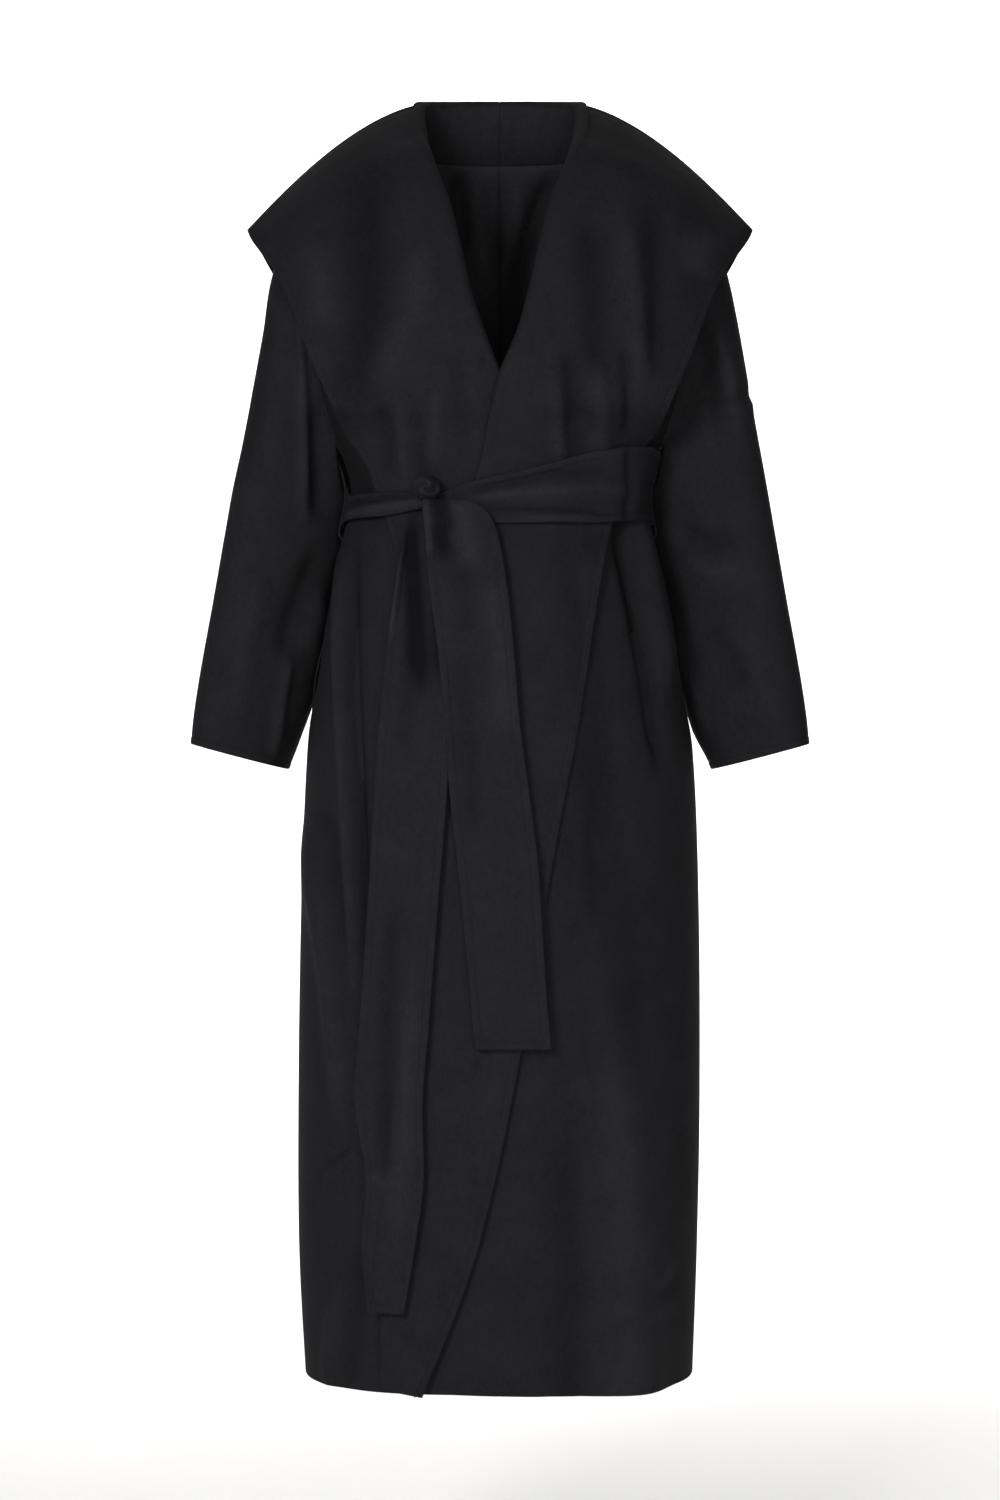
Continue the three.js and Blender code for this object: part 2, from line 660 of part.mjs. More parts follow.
// A flat bag behind the side seam: rings that follow the inside of the front, to a closed end
function pocket(name, side, color) {
  const middle = (POCKET.top + POCKET.bottom) / 2;
  const half = (POCKET.top - POCKET.bottom) / 2;
  const rings = range(POCKET_ROWS + 1).map((i) => {
    const share = i / POCKET_ROWS;
    const tall = half * Math.sqrt(1 - 0.9 * share ** 3);
    const inside = lerp(POCKET.lip, POCKET.inside, smooth(share * 3));
    return range(POCKET_SIDES).map((j) => {
      const turn = (2 * Math.PI * j) / POCKET_SIDES;
      const z = middle + tall * Math.cos(turn) - 12 * share;
      const depth = inside + POCKET.gape * Math.sin(turn);
      return onBody(side, -1, radians(2 + POCKET.reach * share), z, -depth);
    });
  });
  const out = directions(rings, true);
  const points = [];
  for (const share of [0.5, -0.5]) {
    rings.forEach((ring, i) => ring.forEach((p, j) => {
      points.push(p.clone().addScaledVector(out[i][j], share * CLOTH * 0.6));
    }));
  }
  const count = rings.length * POCKET_SIDES;
  const faces = [];
  const at = (i, j) => i * POCKET_SIDES + (j % POCKET_SIDES);
  for (const j of range(POCKET_SIDES)) {
    for (const i of range(POCKET_ROWS)) {
      faces.push([at(i, j), at(i, j + 1), at(i + 1, j + 1)], [at(i, j), at(i + 1, j + 1), at(i + 1, j)]);
      faces.push([count + at(i, j), count + at(i + 1, j + 1), count + at(i, j + 1)]);
      faces.push([count + at(i, j), count + at(i + 1, j), count + at(i + 1, j + 1)]);
    }
    faces.push([at(0, j), count + at(0, j + 1), at(0, j + 1)], [at(0, j), count + at(0, j), count + at(0, j + 1)]);
  }
  for (const share of [0, 1]) {
    const ring = rings[POCKET_ROWS];
    const centre = ring.reduce((sum, p) => sum.add(p), point(0, 0, 0)).divideScalar(POCKET_SIDES);
    const ahead = centre.clone().sub(rings[POCKET_ROWS - 1][0].clone().lerp(rings[POCKET_ROWS - 1][6], 0.5));
    points.push(centre.addScaledVector(ahead.normalize(), share ? 0.5 : 2.2));
  }
  const tip = points.length - 2;
  for (const j of range(POCKET_SIDES)) {
    faces.push([tip, at(POCKET_ROWS, j), at(POCKET_ROWS, j + 1)]);
    faces.push([tip + 1, count + at(POCKET_ROWS, j + 1), count + at(POCKET_ROWS, j)]);
  }
  return solid(name, points, faces, color);
}

function beltLoop(side) {
  const near = CLOTH + SEAM;
  const far = (z) => layer(z) + 1 + CLOTH / 2 + SEAM + LOOP.thick / 2;
  const path = table(
    ['z', 'out'],
    [LOOP.top, near],
    [LOOP.top - 3, near + 2],
    [LOOP.top - 9, far(LOOP.top - 9) + 0.2],
    [WAIST, far(WAIST) + 0.2],
    [LOOP.bottom + 11, far(LOOP.bottom + 11) + 0.2],
    [LOOP.bottom + 4, near + 2],
    [LOOP.bottom, near],
  );
  return path.map(({ z, out }) => [-1, 1].map((edge) => {
    const p = onBody(side, -1, 0, z, out);
    return point(p.x, (edge * LOOP.width) / 2, z);
  }));
}

// The coat

const WOOL = 0x1f1e1f;
const coat = new THREE.Group();
coat.name = 'hooded_coat';
for (const [side, word] of [[1, 'left'], [-1, 'right']]) {
  coat.add(wall(`front_${word}`, front(side), WOOL));
  coat.add(wall(`back_${word}`, back(side), WOOL));
  coat.add(wall(`sleeve_${word}`, sleeveRows(side), WOOL, { closed: true }));
  coat.add(wall(`hood_${word}`, hoodRows(side), WOOL));
  coat.add(pocket(`pocket_${word}`, side, WOOL));
  coat.add(wall(`belt_loop_${word}`, beltLoop(side), WOOL, { thickness: LOOP.thick }));
}
coat.add(wall('belt_wrap_left', beltBand(1, BELT_LEFT, 20), WOOL));
coat.add(wall('belt_wrap_right', beltBand(-1, BELT_RIGHT, 16), WOOL));
coat.add(knot('belt_knot', WOOL));
coat.add(wall('belt_tail_over', tail(TAIL_OVER, TAIL_OVER_OUT), WOOL));
coat.add(wall('belt_tail_under', tail(TAIL_UNDER, TAIL_UNDER_OUT), WOOL));

export default coat;
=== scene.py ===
# %% [markdown]
# # A hooded wrap coat in black double-faced wool
#
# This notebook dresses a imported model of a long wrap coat. The solids of the model give every
# piece its size and place; here each piece is made again as cloth: thin, softly creased, with
# pressed edges, seams, stitches and the nap of brushed wool.
#
# The frame comes first. Every length below is in millimetres, as a tailor would write it, and one
# factor turns it into Blender's metres when a mesh is made.

# %% Load the frame
import math
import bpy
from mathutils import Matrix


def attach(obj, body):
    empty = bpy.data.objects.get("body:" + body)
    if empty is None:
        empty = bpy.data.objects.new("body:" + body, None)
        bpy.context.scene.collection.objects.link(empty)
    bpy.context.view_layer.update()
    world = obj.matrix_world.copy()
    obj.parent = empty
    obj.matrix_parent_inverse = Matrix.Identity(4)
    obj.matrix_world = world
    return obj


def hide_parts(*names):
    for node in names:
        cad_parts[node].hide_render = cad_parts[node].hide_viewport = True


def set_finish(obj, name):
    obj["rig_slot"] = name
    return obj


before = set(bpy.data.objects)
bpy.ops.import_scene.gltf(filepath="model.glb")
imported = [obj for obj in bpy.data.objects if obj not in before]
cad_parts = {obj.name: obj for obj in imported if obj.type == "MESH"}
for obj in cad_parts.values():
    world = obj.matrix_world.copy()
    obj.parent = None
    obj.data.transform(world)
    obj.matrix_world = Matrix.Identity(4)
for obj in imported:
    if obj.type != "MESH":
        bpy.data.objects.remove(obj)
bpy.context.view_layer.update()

from types import SimpleNamespace

import bpy
import numpy as np

MM = 0.001
BODY_NAME = "root"
print("nodes in the frame:", len(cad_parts))

# %% [markdown]
# ## The camera
#
# The coat is seen straight from the front, at half its height, from far enough away that its
# sides hardly narrow. A long lens does the same in a studio. The camera is made first, so that
# every later cell can be judged through it.

# %% Camera
CAMERA_BACK = 3.4
CAMERA_HEIGHT = -0.6
CAMERA_LENS = 81.6

camera_data = bpy.data.cameras.new("camera")
camera_data.lens = CAMERA_LENS
camera_data.sensor_width = 36
camera = bpy.data.objects.new("camera", camera_data)
camera.location = (0, -CAMERA_BACK, CAMERA_HEIGHT)
camera.rotation_euler = (math.radians(90), 0, 0)
bpy.context.scene.collection.objects.link(camera)
bpy.context.scene.camera = camera
print("camera", CAMERA_BACK, "m in front")

# %% [markdown]
# ## Sizes of the coat
#
# A coat on a figure is a stack of sections. The first table gives the body's half-widths and
# depths at a few heights, and a smooth curve through each column gives every height between. The
# numbers are the pattern's own sizes, the same ones that the solids are made from.

# %% Driving sizes
CLOTH = 2.5
SEAM = -0.2
RIDGE_SEAM = 0.2
HOOD_SEAM = -0.2
ROUNDNESS = 2.3
LAYER = 5.5
LAYER_AT_BELT = 3.4
WAIST = -343
BELT_REACH = 60
BELT_PRESS = 78
BELT_EASE = 30
ARMHOLE_TOP = -75
ARMHOLE_BOTTOM = -296
HEM = -1218
NECK_SEAM = -3


def table(names, *rows):
    """Named rows, one for each section or fold."""
    return [dict(zip(names.split(), row)) for row in rows]


BODY = table(
    "z left right front back middle",
    (62, 75, 75, 72, 57, 15),
    (49, 76, 76, 74, 57, 15),
    (17, 80, 80, 79, 56, 12),
    (-5, 87, 87, 80, 55, 10),
    (-38, 138, 138, 84, 80, 10),
    (-75, 198, 198, 98, 100, 8),
    (-120, 202, 202, 114, 112, 6),
    (-170, 200, 200, 126, 118, 4),
    (-220, 191, 191, 132, 118, 2),
    (-260, 176, 176, 130, 112, 0),
    (-300, 158, 159, 120, 103, 0),
    (-340, 145, 148, 113, 96, 0),
    (-383, 149, 154, 117, 100, 0),
    (-450, 166, 168, 132, 113, 0),
    (-540, 181, 184, 145, 127, 0),
    (-600, 191, 191, 149, 131, 0),
    (-750, 197, 197, 151, 134, 0),
    (-950, 198, 200, 154, 138, 0),
    (-1100, 195, 199, 156, 141, 0),
    (-1230, 190, 192, 157, 142, 0),
)
ARMHOLE = table(
    "z cut",
    (-75, 0),
    (-95, 12),
    (-130, 21),
    (-180, 25),
    (-230, 21),
    (-270, 11),
    (-296, 0),
)
print("body sections:", len(BODY))

# %% [markdown]
# ## Smooth curves through a table
#
# A cubic Hermite curve passes through every row and takes its slope from the rows on either side,
# so a few listed rows give a curve with no corners. Written with numpy it takes a whole
# grid of heights at once, which is what makes fine cloth quick to build.

# %% Curves


def track(rows, by, name):
    """The smooth curve through one column of a table, as a function of another column."""
    at = np.array([row[by] for row in rows], float)
    value = np.array([row[name] for row in rows], float)
    last = len(rows) - 1
    low = np.maximum(np.arange(last + 1) - 1, 0)
    high = np.minimum(np.arange(last + 1) + 1, last)
    slope = (value[high] - value[low]) / (at[high] - at[low])
    sign = np.sign(at[-1] - at[0])

    def curve(where):
        where = np.asarray(where, float)
        i = np.clip(np.searchsorted(sign * at, sign * where, side="right") - 1, 0, last - 1)
        span = at[i + 1] - at[i]
        t = np.clip((where - at[i]) / span, 0, 1)
        return (
            (2 * t**3 - 3 * t**2 + 1) * value[i]
            + (t**3 - 2 * t**2 + t) * span * slope[i]
            + (3 * t**2 - 2 * t**3) * value[i + 1]
            + (t**3 - t**2) * span * slope[i + 1]
        )

    return curve


def tracks(rows, by):
    """A curve for every column of a table."""
    return SimpleNamespace(**{name: track(rows, by, name) for name in rows[0] if name != by})


def smooth(x):
    """Eases from 0 to 1 as x goes from 0 to 1."""
    x = np.clip(x, 0, 1)
    return x * x * (3 - 2 * x)


def mix(a, b, share):
    """The value that lies a share of the way from a to b."""
    return a + (b - a) * share


def unit(v):
    """Directions brought to a length of one."""
    return v / np.maximum(np.linalg.norm(v, axis=-1, keepdims=True), 1e-9)


body = tracks(BODY, "z")
armhole_cut = track(ARMHOLE, "z", "cut")
print("waist half-width:", float(body.left(WAIST)), "mm")

# %% [markdown]
# ## The body's surface
#
# Each section is a superellipse, a little squarer than an ellipse, because a coat hangs from its
# front and back rather than hugging the ribs. A point is named by its height and by its angle from
# the side seam, so a panel that wraps round the side gets even columns all the way.

# %% Points on the body


def root(x):
    """The superellipse's power, with the sign kept."""
    return np.sign(x) * np.abs(x) ** (2 / ROUNDNESS)


def half_width(z, x):
    """The body's half-width at a height, on the side that x lies on."""
    return np.where(x > 0, body.left(z), body.right(z))


def on_body(side, facing, angle, z, out):
    """A point of the body: 90 degrees is the centre front, facing -1, or back, facing 1."""
    z = np.asarray(z, float)
    across = root(np.cos(angle))
    wide = half_width(z, side * across) + out
    deep = (body.front(z) if facing < 0 else body.back(z)) + out
    y = body.middle(z) + facing * deep * root(np.sin(angle))
    return np.stack(np.broadcast_arrays(side * wide * across, y, z), -1)


def angle_at(side, x, z, out):
    """The angle at which a point of the front has this x."""
    wide = half_width(z, x) + out
    share = np.clip(side * x / wide, -1, 1)
    return np.arccos(np.sign(share) * np.abs(share) ** (ROUNDNESS / 2))


def front_y(x, z, out):
    """Depth of the front at a place, moved out by a number of layers."""
    share = np.clip(np.abs(x) / (half_width(z, x) + out), 0, 1)
    deep = (1 - share**ROUNDNESS) ** (1 / ROUNDNESS)
    return body.middle(z) - (body.front(z) + out) * deep


print("front of the waist:", round(float(front_y(0, WAIST, 0))), "mm")

# %% [markdown]
# ## Cloth with a real edge
#
# Double-faced wool is two woven layers held together. Its edges are split open, turned in and sewn
# by hand, which leaves a rounded lip about eight millimetres wide and a fine pressed line behind
# it. That lip is what the eye reads as a good coat, so it is in the mesh: the wall gets a
# thickness for each point from its distance to the nearest free edge.
#
# A Solidify modifier would give the same thickness everywhere, so the two skins are made here.
# Their points are kept in `both_faces`, because the stitches later run along them. Each point
# also carries an amount of painted light and shade, which the wool's colour reads.

# %% Walls of cloth
EDGE_STEPS = [0, 0.45, 1.1, 2, 3.4, 5, 6.4, 7.2, 7.8, 8.4, 9.2, 10.6, 13, 17]
LIP_WIDTH = 7.8
LIP_RAISE = 0.7
LIP_SLOPE = 1.4
FAR_OFF = 1e3
LINE_DEPTH = 0.75
LINE_WIDTH = 0.8
SEAM_ROUND = 1.3
THIN_AT_EDGE = 0.05
THIN_AT_SEAM = 0.3
both_faces = {}


def thickness_at(free, sewn):
    """Thickness of the wall from its distances to a free edge and to a seam."""

    def rounded(distance, least):
        fall = 1 - np.clip(distance / SEAM_ROUND, 0, 1)
        return np.sqrt(np.clip(1 - fall**2, least, 1))

    lip = LIP_RAISE * (1 - smooth((free - LIP_WIDTH + 1) / LIP_SLOPE))
    line = LINE_DEPTH * np.exp(-(((free - LIP_WIDTH) / LINE_WIDTH) ** 2))
    rounding = rounded(free, THIN_AT_EDGE) * rounded(sewn, THIN_AT_SEAM)
    return (CLOTH + lip - line) * rounding


def directions(grid, closed=False):
    """Directions square to a grid's surface; its order of rows says which side they point to."""
    if closed:
        wrapped = np.concatenate([grid[:, -1:], grid, grid[:, :1]], 1)
        across = wrapped[:, 2:] - wrapped[:, :-2]
    else:
        across = np.gradient(grid, axis=1)
    return unit(np.cross(np.gradient(grid, axis=0), across))


def spans(points, axis):
    """Running length along a grid's rows or columns."""
    steps = np.linalg.norm(np.diff(points, axis=axis), axis=-1)
    first = np.zeros_like(np.take(steps, [0], axis=axis))
    return np.concatenate([first, np.cumsum(steps, axis=axis)], axis=axis)


def running(steps):
    """The running sum of some steps, from nothing to them all."""
    return np.concatenate([[0], np.cumsum(steps)])


def to_end(points, axis):
    """Length left along a grid's rows or columns to their last point."""
    return np.flip(spans(np.flip(points, axis), axis), axis)


def to_border(points, axis):
    """Length along a grid's rows or columns to the nearer of their ends."""
    return np.minimum(spans(points, axis), to_end(points, axis))


def nowhere(points):
    """Stands for the distance to a free edge where a piece has none."""
    return np.full(points.shape[:2], FAR_OFF)


def mesh_object(name, points, quads, uv, materials, rub=None):
    """A smooth mesh from arrays in millimetres, with its faces pointing out."""
    a, b, c, d = (points[quads[:, k]] for k in range(4))
    volume = np.einsum("ij,ij->i", a, np.cross(b, c)) + np.einsum("ij,ij->i", a, np.cross(c, d))
    if volume.sum() < 0:
        quads = quads[:, ::-1]
    mesh = bpy.data.meshes.new(name)
    mesh.vertices.add(len(points))
    mesh.vertices.foreach_set("co", (points * MM).astype(np.float32).ravel())
    mesh.loops.add(quads.size)
    mesh.loops.foreach_set("vertex_index", quads.astype(np.int32).ravel())
    mesh.polygons.add(len(quads))
    mesh.polygons.foreach_set("loop_start", np.arange(0, quads.size, 4, dtype=np.int32))
    mesh.update(calc_edges=True)
    mesh.polygons.foreach_set("use_smooth", np.ones(len(quads), bool))
    layer_uv = mesh.uv_layers.new(name="cloth")
    layer_uv.data.foreach_set("uv", (uv[quads.ravel()] * MM).astype(np.float32).ravel())
    for material in materials:
        mesh.materials.append(material)
    # Each point keeps its painted light and shade, which the wool's colour reads.
    shading_paint = mesh.attributes.new("rub", "FLOAT", "POINT")
    shading_paint.data.foreach_set("value", np.zeros(len(points), np.float32) if rub is None else rub)
    mesh.validate()
    obj = bpy.data.objects.new(name, mesh)
    bpy.context.scene.collection.objects.link(obj)
    return obj


def cloth_wall(name, grid, free, sewn, material, closed=False, rub=None):
    """Both skins of a piece of cloth and the narrow faces round its edges."""
    rows, across = grid.shape[:2]
    out = directions(grid, closed)
    half = thickness_at(free, sewn)[..., None] / 2
    both_faces[name] = (grid + out * half, grid - out * half)
    skins = np.concatenate([face.reshape(-1, 3) for face in both_faces[name]])
    shading_paint = np.zeros(grid.shape[:2]) if rub is None else np.broadcast_to(rub, grid.shape[:2])
    shading_paint = np.tile(shading_paint.ravel(), 2).astype(np.float32)
    u = spans(grid, 1)
    v = np.broadcast_to(spans(grid, 0)[:, across // 2][:, None], u.shape)
    uv = np.tile(np.stack([u, v], -1).reshape(-1, 2), (2, 1))
    count = rows * across
    index = np.arange(count).reshape(rows, across)
    if closed:
        index = np.concatenate([index, index[:, :1]], 1)
    a, b, c, d = index[:-1, :-1], index[:-1, 1:], index[1:, 1:], index[1:, :-1]
    outer = np.stack([a, b, c, d], -1).reshape(-1, 4)
    inner = np.stack([a, d, c, b], -1).reshape(-1, 4) + count

    def rim(line):
        return np.stack([line[:-1], line[:-1] + count, line[1:] + count, line[1:]], -1)

    rims = [rim(index[0]), rim(index[-1][::-1])]
    if not closed:
        rims += [rim(index[:, 0][::-1]), rim(index[:, -1])]
    quads = np.concatenate([outer, inner, *rims])
    return mesh_object(name, skins, quads, uv, [material], shading_paint)


def both(shape):
    """The left and the right piece that one function makes."""
    return {word: shape(side, word) for word, side in (("left", 1), ("right", -1))}


def faces(pieces):
    """How many faces the meshes of some pieces have."""
    return {word: len(piece.data.polygons) for word, piece in pieces.items()}


print("lip:", LIP_WIDTH, "mm wide, wall", CLOTH, "mm")

# %% [markdown]
# ## The wool
#
# The cloth is a black double-faced wool: two fine twills woven together, milled until the threads
# close up, then brushed so that a short nap lies down the length of the piece. To the eye that
# means no visible weave, almost no gloss, a faint soft bloom where the nap stands up, and a
# mottling a few millimetres across where it lies this way or that. Light and shade are painted
# into the colour too: the tops of folds are painted a little lighter, and deep in a fold darker.
#
# A twill drawn from its threads would be far too fine to see at this distance, so the nap is drawn
# instead. It is noise in millimetres, stretched down the piece, on Object coordinates, so it never
# slides. The sheen is set on the shader's own sockets.

# %% Wool materials


def hex_linear(code):
    """An sRGB hex colour as linear red, green, blue and alpha."""
    channels = [int(code[i : i + 2], 16) / 255 for i in (1, 3, 5)]
    linear = [c / 12.92 if c <= 0.04045 else ((c + 0.055) / 1.055) ** 2.4 for c in channels]
    return (*linear, 1)


def add_node(tree, kind, settings=None, **links):
    """One node with its settings and its linked inputs."""
    node = tree.nodes.new(kind)
    for key, value in (settings or {}).items():
        if isinstance(key, str) and hasattr(node, key):
            setattr(node, key, value)
        else:
            node.inputs[key].default_value = value
    for name, source in links.items():
        tree.links.new(source, node.inputs[name.replace("_", " ")])
    return node


def new_material(name):
    """A material that is still plain, with its node tree and its shader."""
    material = bpy.data.materials.new(name)
    material.use_nodes = True
    return material, material.node_tree, material.node_tree.nodes["Principled BSDF"]


CLOUD_MM = 34
MOTTLE_MM = 7
NAP_WIDE_MM = 2.2
NAP_LONG_MM = 5
FIBRE_MM = 1.1
HAIR_SHARE = 0.6
FINE_SHARE = 0.4
PAINTED_SHADING_SHARE = 0.36


def milled_wool(name, dark, light, nap_turn=0):
    """Brushed wool: a cloud, a mottle and a nap of fibres, in colour and in relief, with painted
    light and shade that scale the colour.
    """
    material, tree, shader = new_material(name)
    shader.inputs["Roughness"].default_value = 0.88
    shader.inputs["IOR"].default_value = 1.45
    shader.inputs["Specular IOR Level"].default_value = 0.05
    shader.inputs["Sheen Weight"].default_value = 0.02
    shader.inputs["Sheen Roughness"].default_value = 0.42
    shader.inputs["Sheen Tint"].default_value = hex_linear("#8c8790")

    place = add_node(tree, "ShaderNodeTexCoord")
    turned = add_node(tree, "ShaderNodeMapping", Vector=place.outputs["Object"])
    turned.inputs["Rotation"].default_value = (0, math.radians(nap_turn), 0)
    stretch = (1, 1, NAP_WIDE_MM / NAP_LONG_MM)
    combed = add_node(tree, "ShaderNodeMapping", Vector=turned.outputs["Vector"])
    combed.inputs["Scale"].default_value = stretch

    heights = []
    for size, source, detail, rough in (
        (CLOUD_MM, place.outputs["Object"], 2, 0.5),
        (MOTTLE_MM, turned.outputs["Vector"], 3, 0.6),
        (NAP_WIDE_MM, combed.outputs["Vector"], 3, 0.65),
        (FIBRE_MM, combed.outputs["Vector"], 2, 0.7),
    ):
        settings = {"Scale": 1 / (size * MM), "Detail": detail, "Roughness": rough}
        noise = add_node(tree, "ShaderNodeTexNoise", settings, Vector=source)
        heights.append(noise.outputs["Fac"])
    cloud, mottle, nap, fibre = heights
    half = {"data_type": "FLOAT", 0: 0.5}
    patches = add_node(tree, "ShaderNodeMix", half, A=cloud, B=mottle)
    hairs = add_node(tree, "ShaderNodeMix", half, A=nap, B=fibre)
    lie = add_node(tree, "ShaderNodeMix", {"data_type": "FLOAT", 0: HAIR_SHARE},
                   A=patches.outputs[0], B=hairs.outputs[0]).outputs[0]
    tone = add_node(tree, "ShaderNodeValToRGB", Fac=lie)
    tone.color_ramp.elements[0].position = 0.3
    tone.color_ramp.elements[0].color = hex_linear(dark)
    tone.color_ramp.elements[1].position = 0.72
    tone.color_ramp.elements[1].color = hex_linear(light)
    # Painted light and shade: each point's stored amount makes the colour lighter or darker.
    rub = add_node(tree, "ShaderNodeAttribute", {"attribute_name": "rub"}).outputs["Fac"]
    shading_paint = add_node(tree, "ShaderNodeMath", {"operation": "MULTIPLY_ADD", 1: PAINTED_SHADING_SHARE, 2: 1.0})
    tree.links.new(rub, shading_paint.inputs[0])
    shade = add_node(tree, "ShaderNodeVectorMath", {"operation": "SCALE"})
    tree.links.new(tone.outputs["Color"], shade.inputs[0])
    tree.links.new(shading_paint.outputs["Value"], shade.inputs["Scale"])
    tree.links.new(shade.outputs["Vector"], shader.inputs["Base Color"])

    coarse = add_node(tree, "ShaderNodeMix", half, A=mottle, B=nap)
    relief = add_node(tree, "ShaderNodeMix", {"data_type": "FLOAT", 0: FINE_SHARE},
                      A=coarse.outputs[0], B=fibre).outputs[0]
    bump = add_node(tree, "ShaderNodeBump", {"Strength": 0.55, "Distance": 0.0011}, Height=relief)
    tree.links.new(bump.outputs["Normal"], shader.inputs["Normal"])
    return material


# The coat's wool is near black with a trace of violet, matt as felt. The belt's is the same cloth
# a shade lighter, and its nap runs at a slight slant.
coat_wool = milled_wool("milled wool, brushed", "#161516", "#242326")
belt_wool = milled_wool("milled wool, doubled", "#171618", "#252427", nap_turn=6)


def sewing_thread(name, dark, light):
    """Twisted thread, dyed with the cloth: a tight change of tone along it, and a dull surface."""
    material, tree, shader = new_material(name)
    twist = add_node(tree, "ShaderNodeTexNoise", {"Scale": 1 / (TWIST_MM * MM), "Detail": 1.0})
    tone = add_node(tree, "ShaderNodeValToRGB", Fac=twist.outputs["Fac"])
    tone.color_ramp.elements[0].color = hex_linear(dark)
    tone.color_ramp.elements[1].color = hex_linear(light)
    tree.links.new(tone.outputs["Color"], shader.inputs["Base Color"])
    shader.inputs["Roughness"].default_value = 0.85
    shader.inputs["Specular IOR Level"].default_value = 0.06
    return material


# The thread matches the cloth so well that only the dots that it presses in are seen.
TWIST_MM = 0.4
thread = sewing_thread("mercerised thread", "#121113", "#1f1d21")
print("materials:", [m.name for m in (coat_wool, belt_wool, thread)])

# %% [markdown]
# ## Creases, one by one
#
# Wool this heavy hangs in a few long, soft folds and shows small sharp ones only where something
# pulls it: above and below the belt, in the crook of the arm, beside the pockets. A simulation of
# a whole coat would take minutes and would not put them where they are, so each crease is a short
# path with a depth and a width, and pushes the cloth out along its own normal. Positive depths
# are ridges, negative ones are troughs. They fade at both ends and differ in length, as real
# ones do. One gain deepens them all together, which is how their contrast was matched.

# %% Creases
FOLD_GAIN = 1.55
FADE_SHARE = 0.25
# Painted light and shade follow the folds: a fold's top is painted lighter and its trough darker,
# and a strip by the shoulder's ridge is painted darker, as painted shade.
PAINTED_SHADING_LIFT_MM = 9
DARKEST_PAINTED_SHADE = -1.8
RIDGE_SHADE_MM = 20


def crease(depth, width, *path):
    """A fold: its depth and width, and the places that it runs through."""
    return SimpleNamespace(depth=depth, width=width, path=np.array(path, float))


def crease_lift(place, folds):
    """How far every place of a flat map is pushed out by a list of folds."""
    lift = np.zeros(place.shape[:-1])
    for fold in folds:
        legs = np.linalg.norm(np.diff(fold.path, axis=0), axis=1)
        gone = running(legs) / legs.sum()
        best = np.full(place.shape[:-1], np.inf)
        along = np.zeros(place.shape[:-1])
        for i, leg in enumerate(legs):
            way = (fold.path[i + 1] - fold.path[i]) / leg
            reach = np.clip((place - fold.path[i]) @ way, 0, leg)
            apart = np.linalg.norm(place - fold.path[i] - reach[..., None] * way, axis=-1)
            nearer = apart < best
            best = np.where(nearer, apart, best)
            along = np.where(nearer, mix(gone[i], gone[i + 1], reach / leg), along)
        fade = smooth(along / FADE_SHARE) * smooth((1 - along) / FADE_SHARE)
        lift += FOLD_GAIN * fold.depth * fade * np.exp(-((best / fold.width) ** 2))
    return lift


def painted_fold_shading(lift):
    """The painted light and shade of a fold: 1, painted light, on the top of a tall fold, and
    below -1, painted shade, deep down in one.
    """
    return np.clip(lift / PAINTED_SHADING_LIFT_MM, DARKEST_PAINTED_SHADE, 1)


print("a fold's shape is a soft bell, a few millimetres deep")

# %% [markdown]
# ## Layers of cloth
#
# Down the front the coat is four layers deep: the right front, its lapel, the left front and its
# lapel. Each one lies a few millimetres in front of the last, closer where the belt presses them.
# Two curves say where the layers end, and everything that rests on the front asks `stack` how far
# out it has to lie.

# %% Lapel and layers
LAPEL = table(
    "row seam rollX rollZ radius rise edgeX edgeY edgeZ puff puffUp",
    (0, -5, 77, 49, 4.5, 1, 253, 5, -80, 0, 23),
    (1, -38, 74, 18, 7, 2.2, 248, -12, -91, 16, 16),
    (2, -75, 60, -35, 9, 1.8, 240, -27, -103, 24, 9),
    (3, -100, 50, -66, 9, 1.5, 230, -44, -117, 24, 3),
    (4, -128, 42, -96, 9, 1.3, 218, -60, -135, 22, 0),
    (5, -175, 27, -160, 9, 1, 202, -85, -171, 18, 0),
    (6, -215, 13, -203, 8, 1, 186, -103, -215, 15, 0),
    (7, -250, 0, -239, 6, 1, 171, -110, -251, 13, 0),
    (8, -285, -10, -280, 4, 1, 155, -104, -285, 10, 0),
    (9, -320, -18, -320, 2, 1, 132, -92, -318, 8, 0),
    (10, -347, -26, -349, 1.7, 1, 122, -90, -346, 8, 0),
    (11, -385, -30, -385, 1.9, 1, 108, -106, -384, 8, 0),
    (12, -457, -38, -457, 2.6, 1, 94, -128, -457, 6, 0),
    (13, -571, -51, -571, 2.75, 1, 76, -152, -571, 4, 0),
    (14, -705, -66, -705, 2.75, 1, 51, -162, -705, 3, 0),
    (15, -883, -86, -883, 2.75, 1, 21, -170, -883, 2, 0),
    (16, -1013, -100, -1013, 2.75, 1, -5, -173, -1013, 1, 0),
    (17, -1110, -111, -1110, 2.75, 1, -32, -174, -1110, 0, 0),
    (18, HEM, -113, -1211, 2.75, 2.5, -74, -174, -1215, 0, 0),
)
lapel = tracks(LAPEL, "row")
left_fold = track(LAPEL[1:], "rollZ", "rollX")
leaf_edge = track(LAPEL[2:], "edgeZ", "edgeX")


# Where the left front starts to lie over the right one, and where each lapel's edge ends.
LAP = SimpleNamespace(top=-150, top_fade=60, past_fold=60, fold_fade=50)
COVER = SimpleNamespace(before_fold=20, fold_fade=12, past_edge=26, edge_fade=20)
RIDGE_LOW = -70
RIDGE_FADE = 30


def layer(z):
    """How far apart two layers of cloth lie at a height."""
    return LAYER - (LAYER - LAYER_AT_BELT) * np.exp(-(((z - WAIST) / BELT_REACH) ** 2))


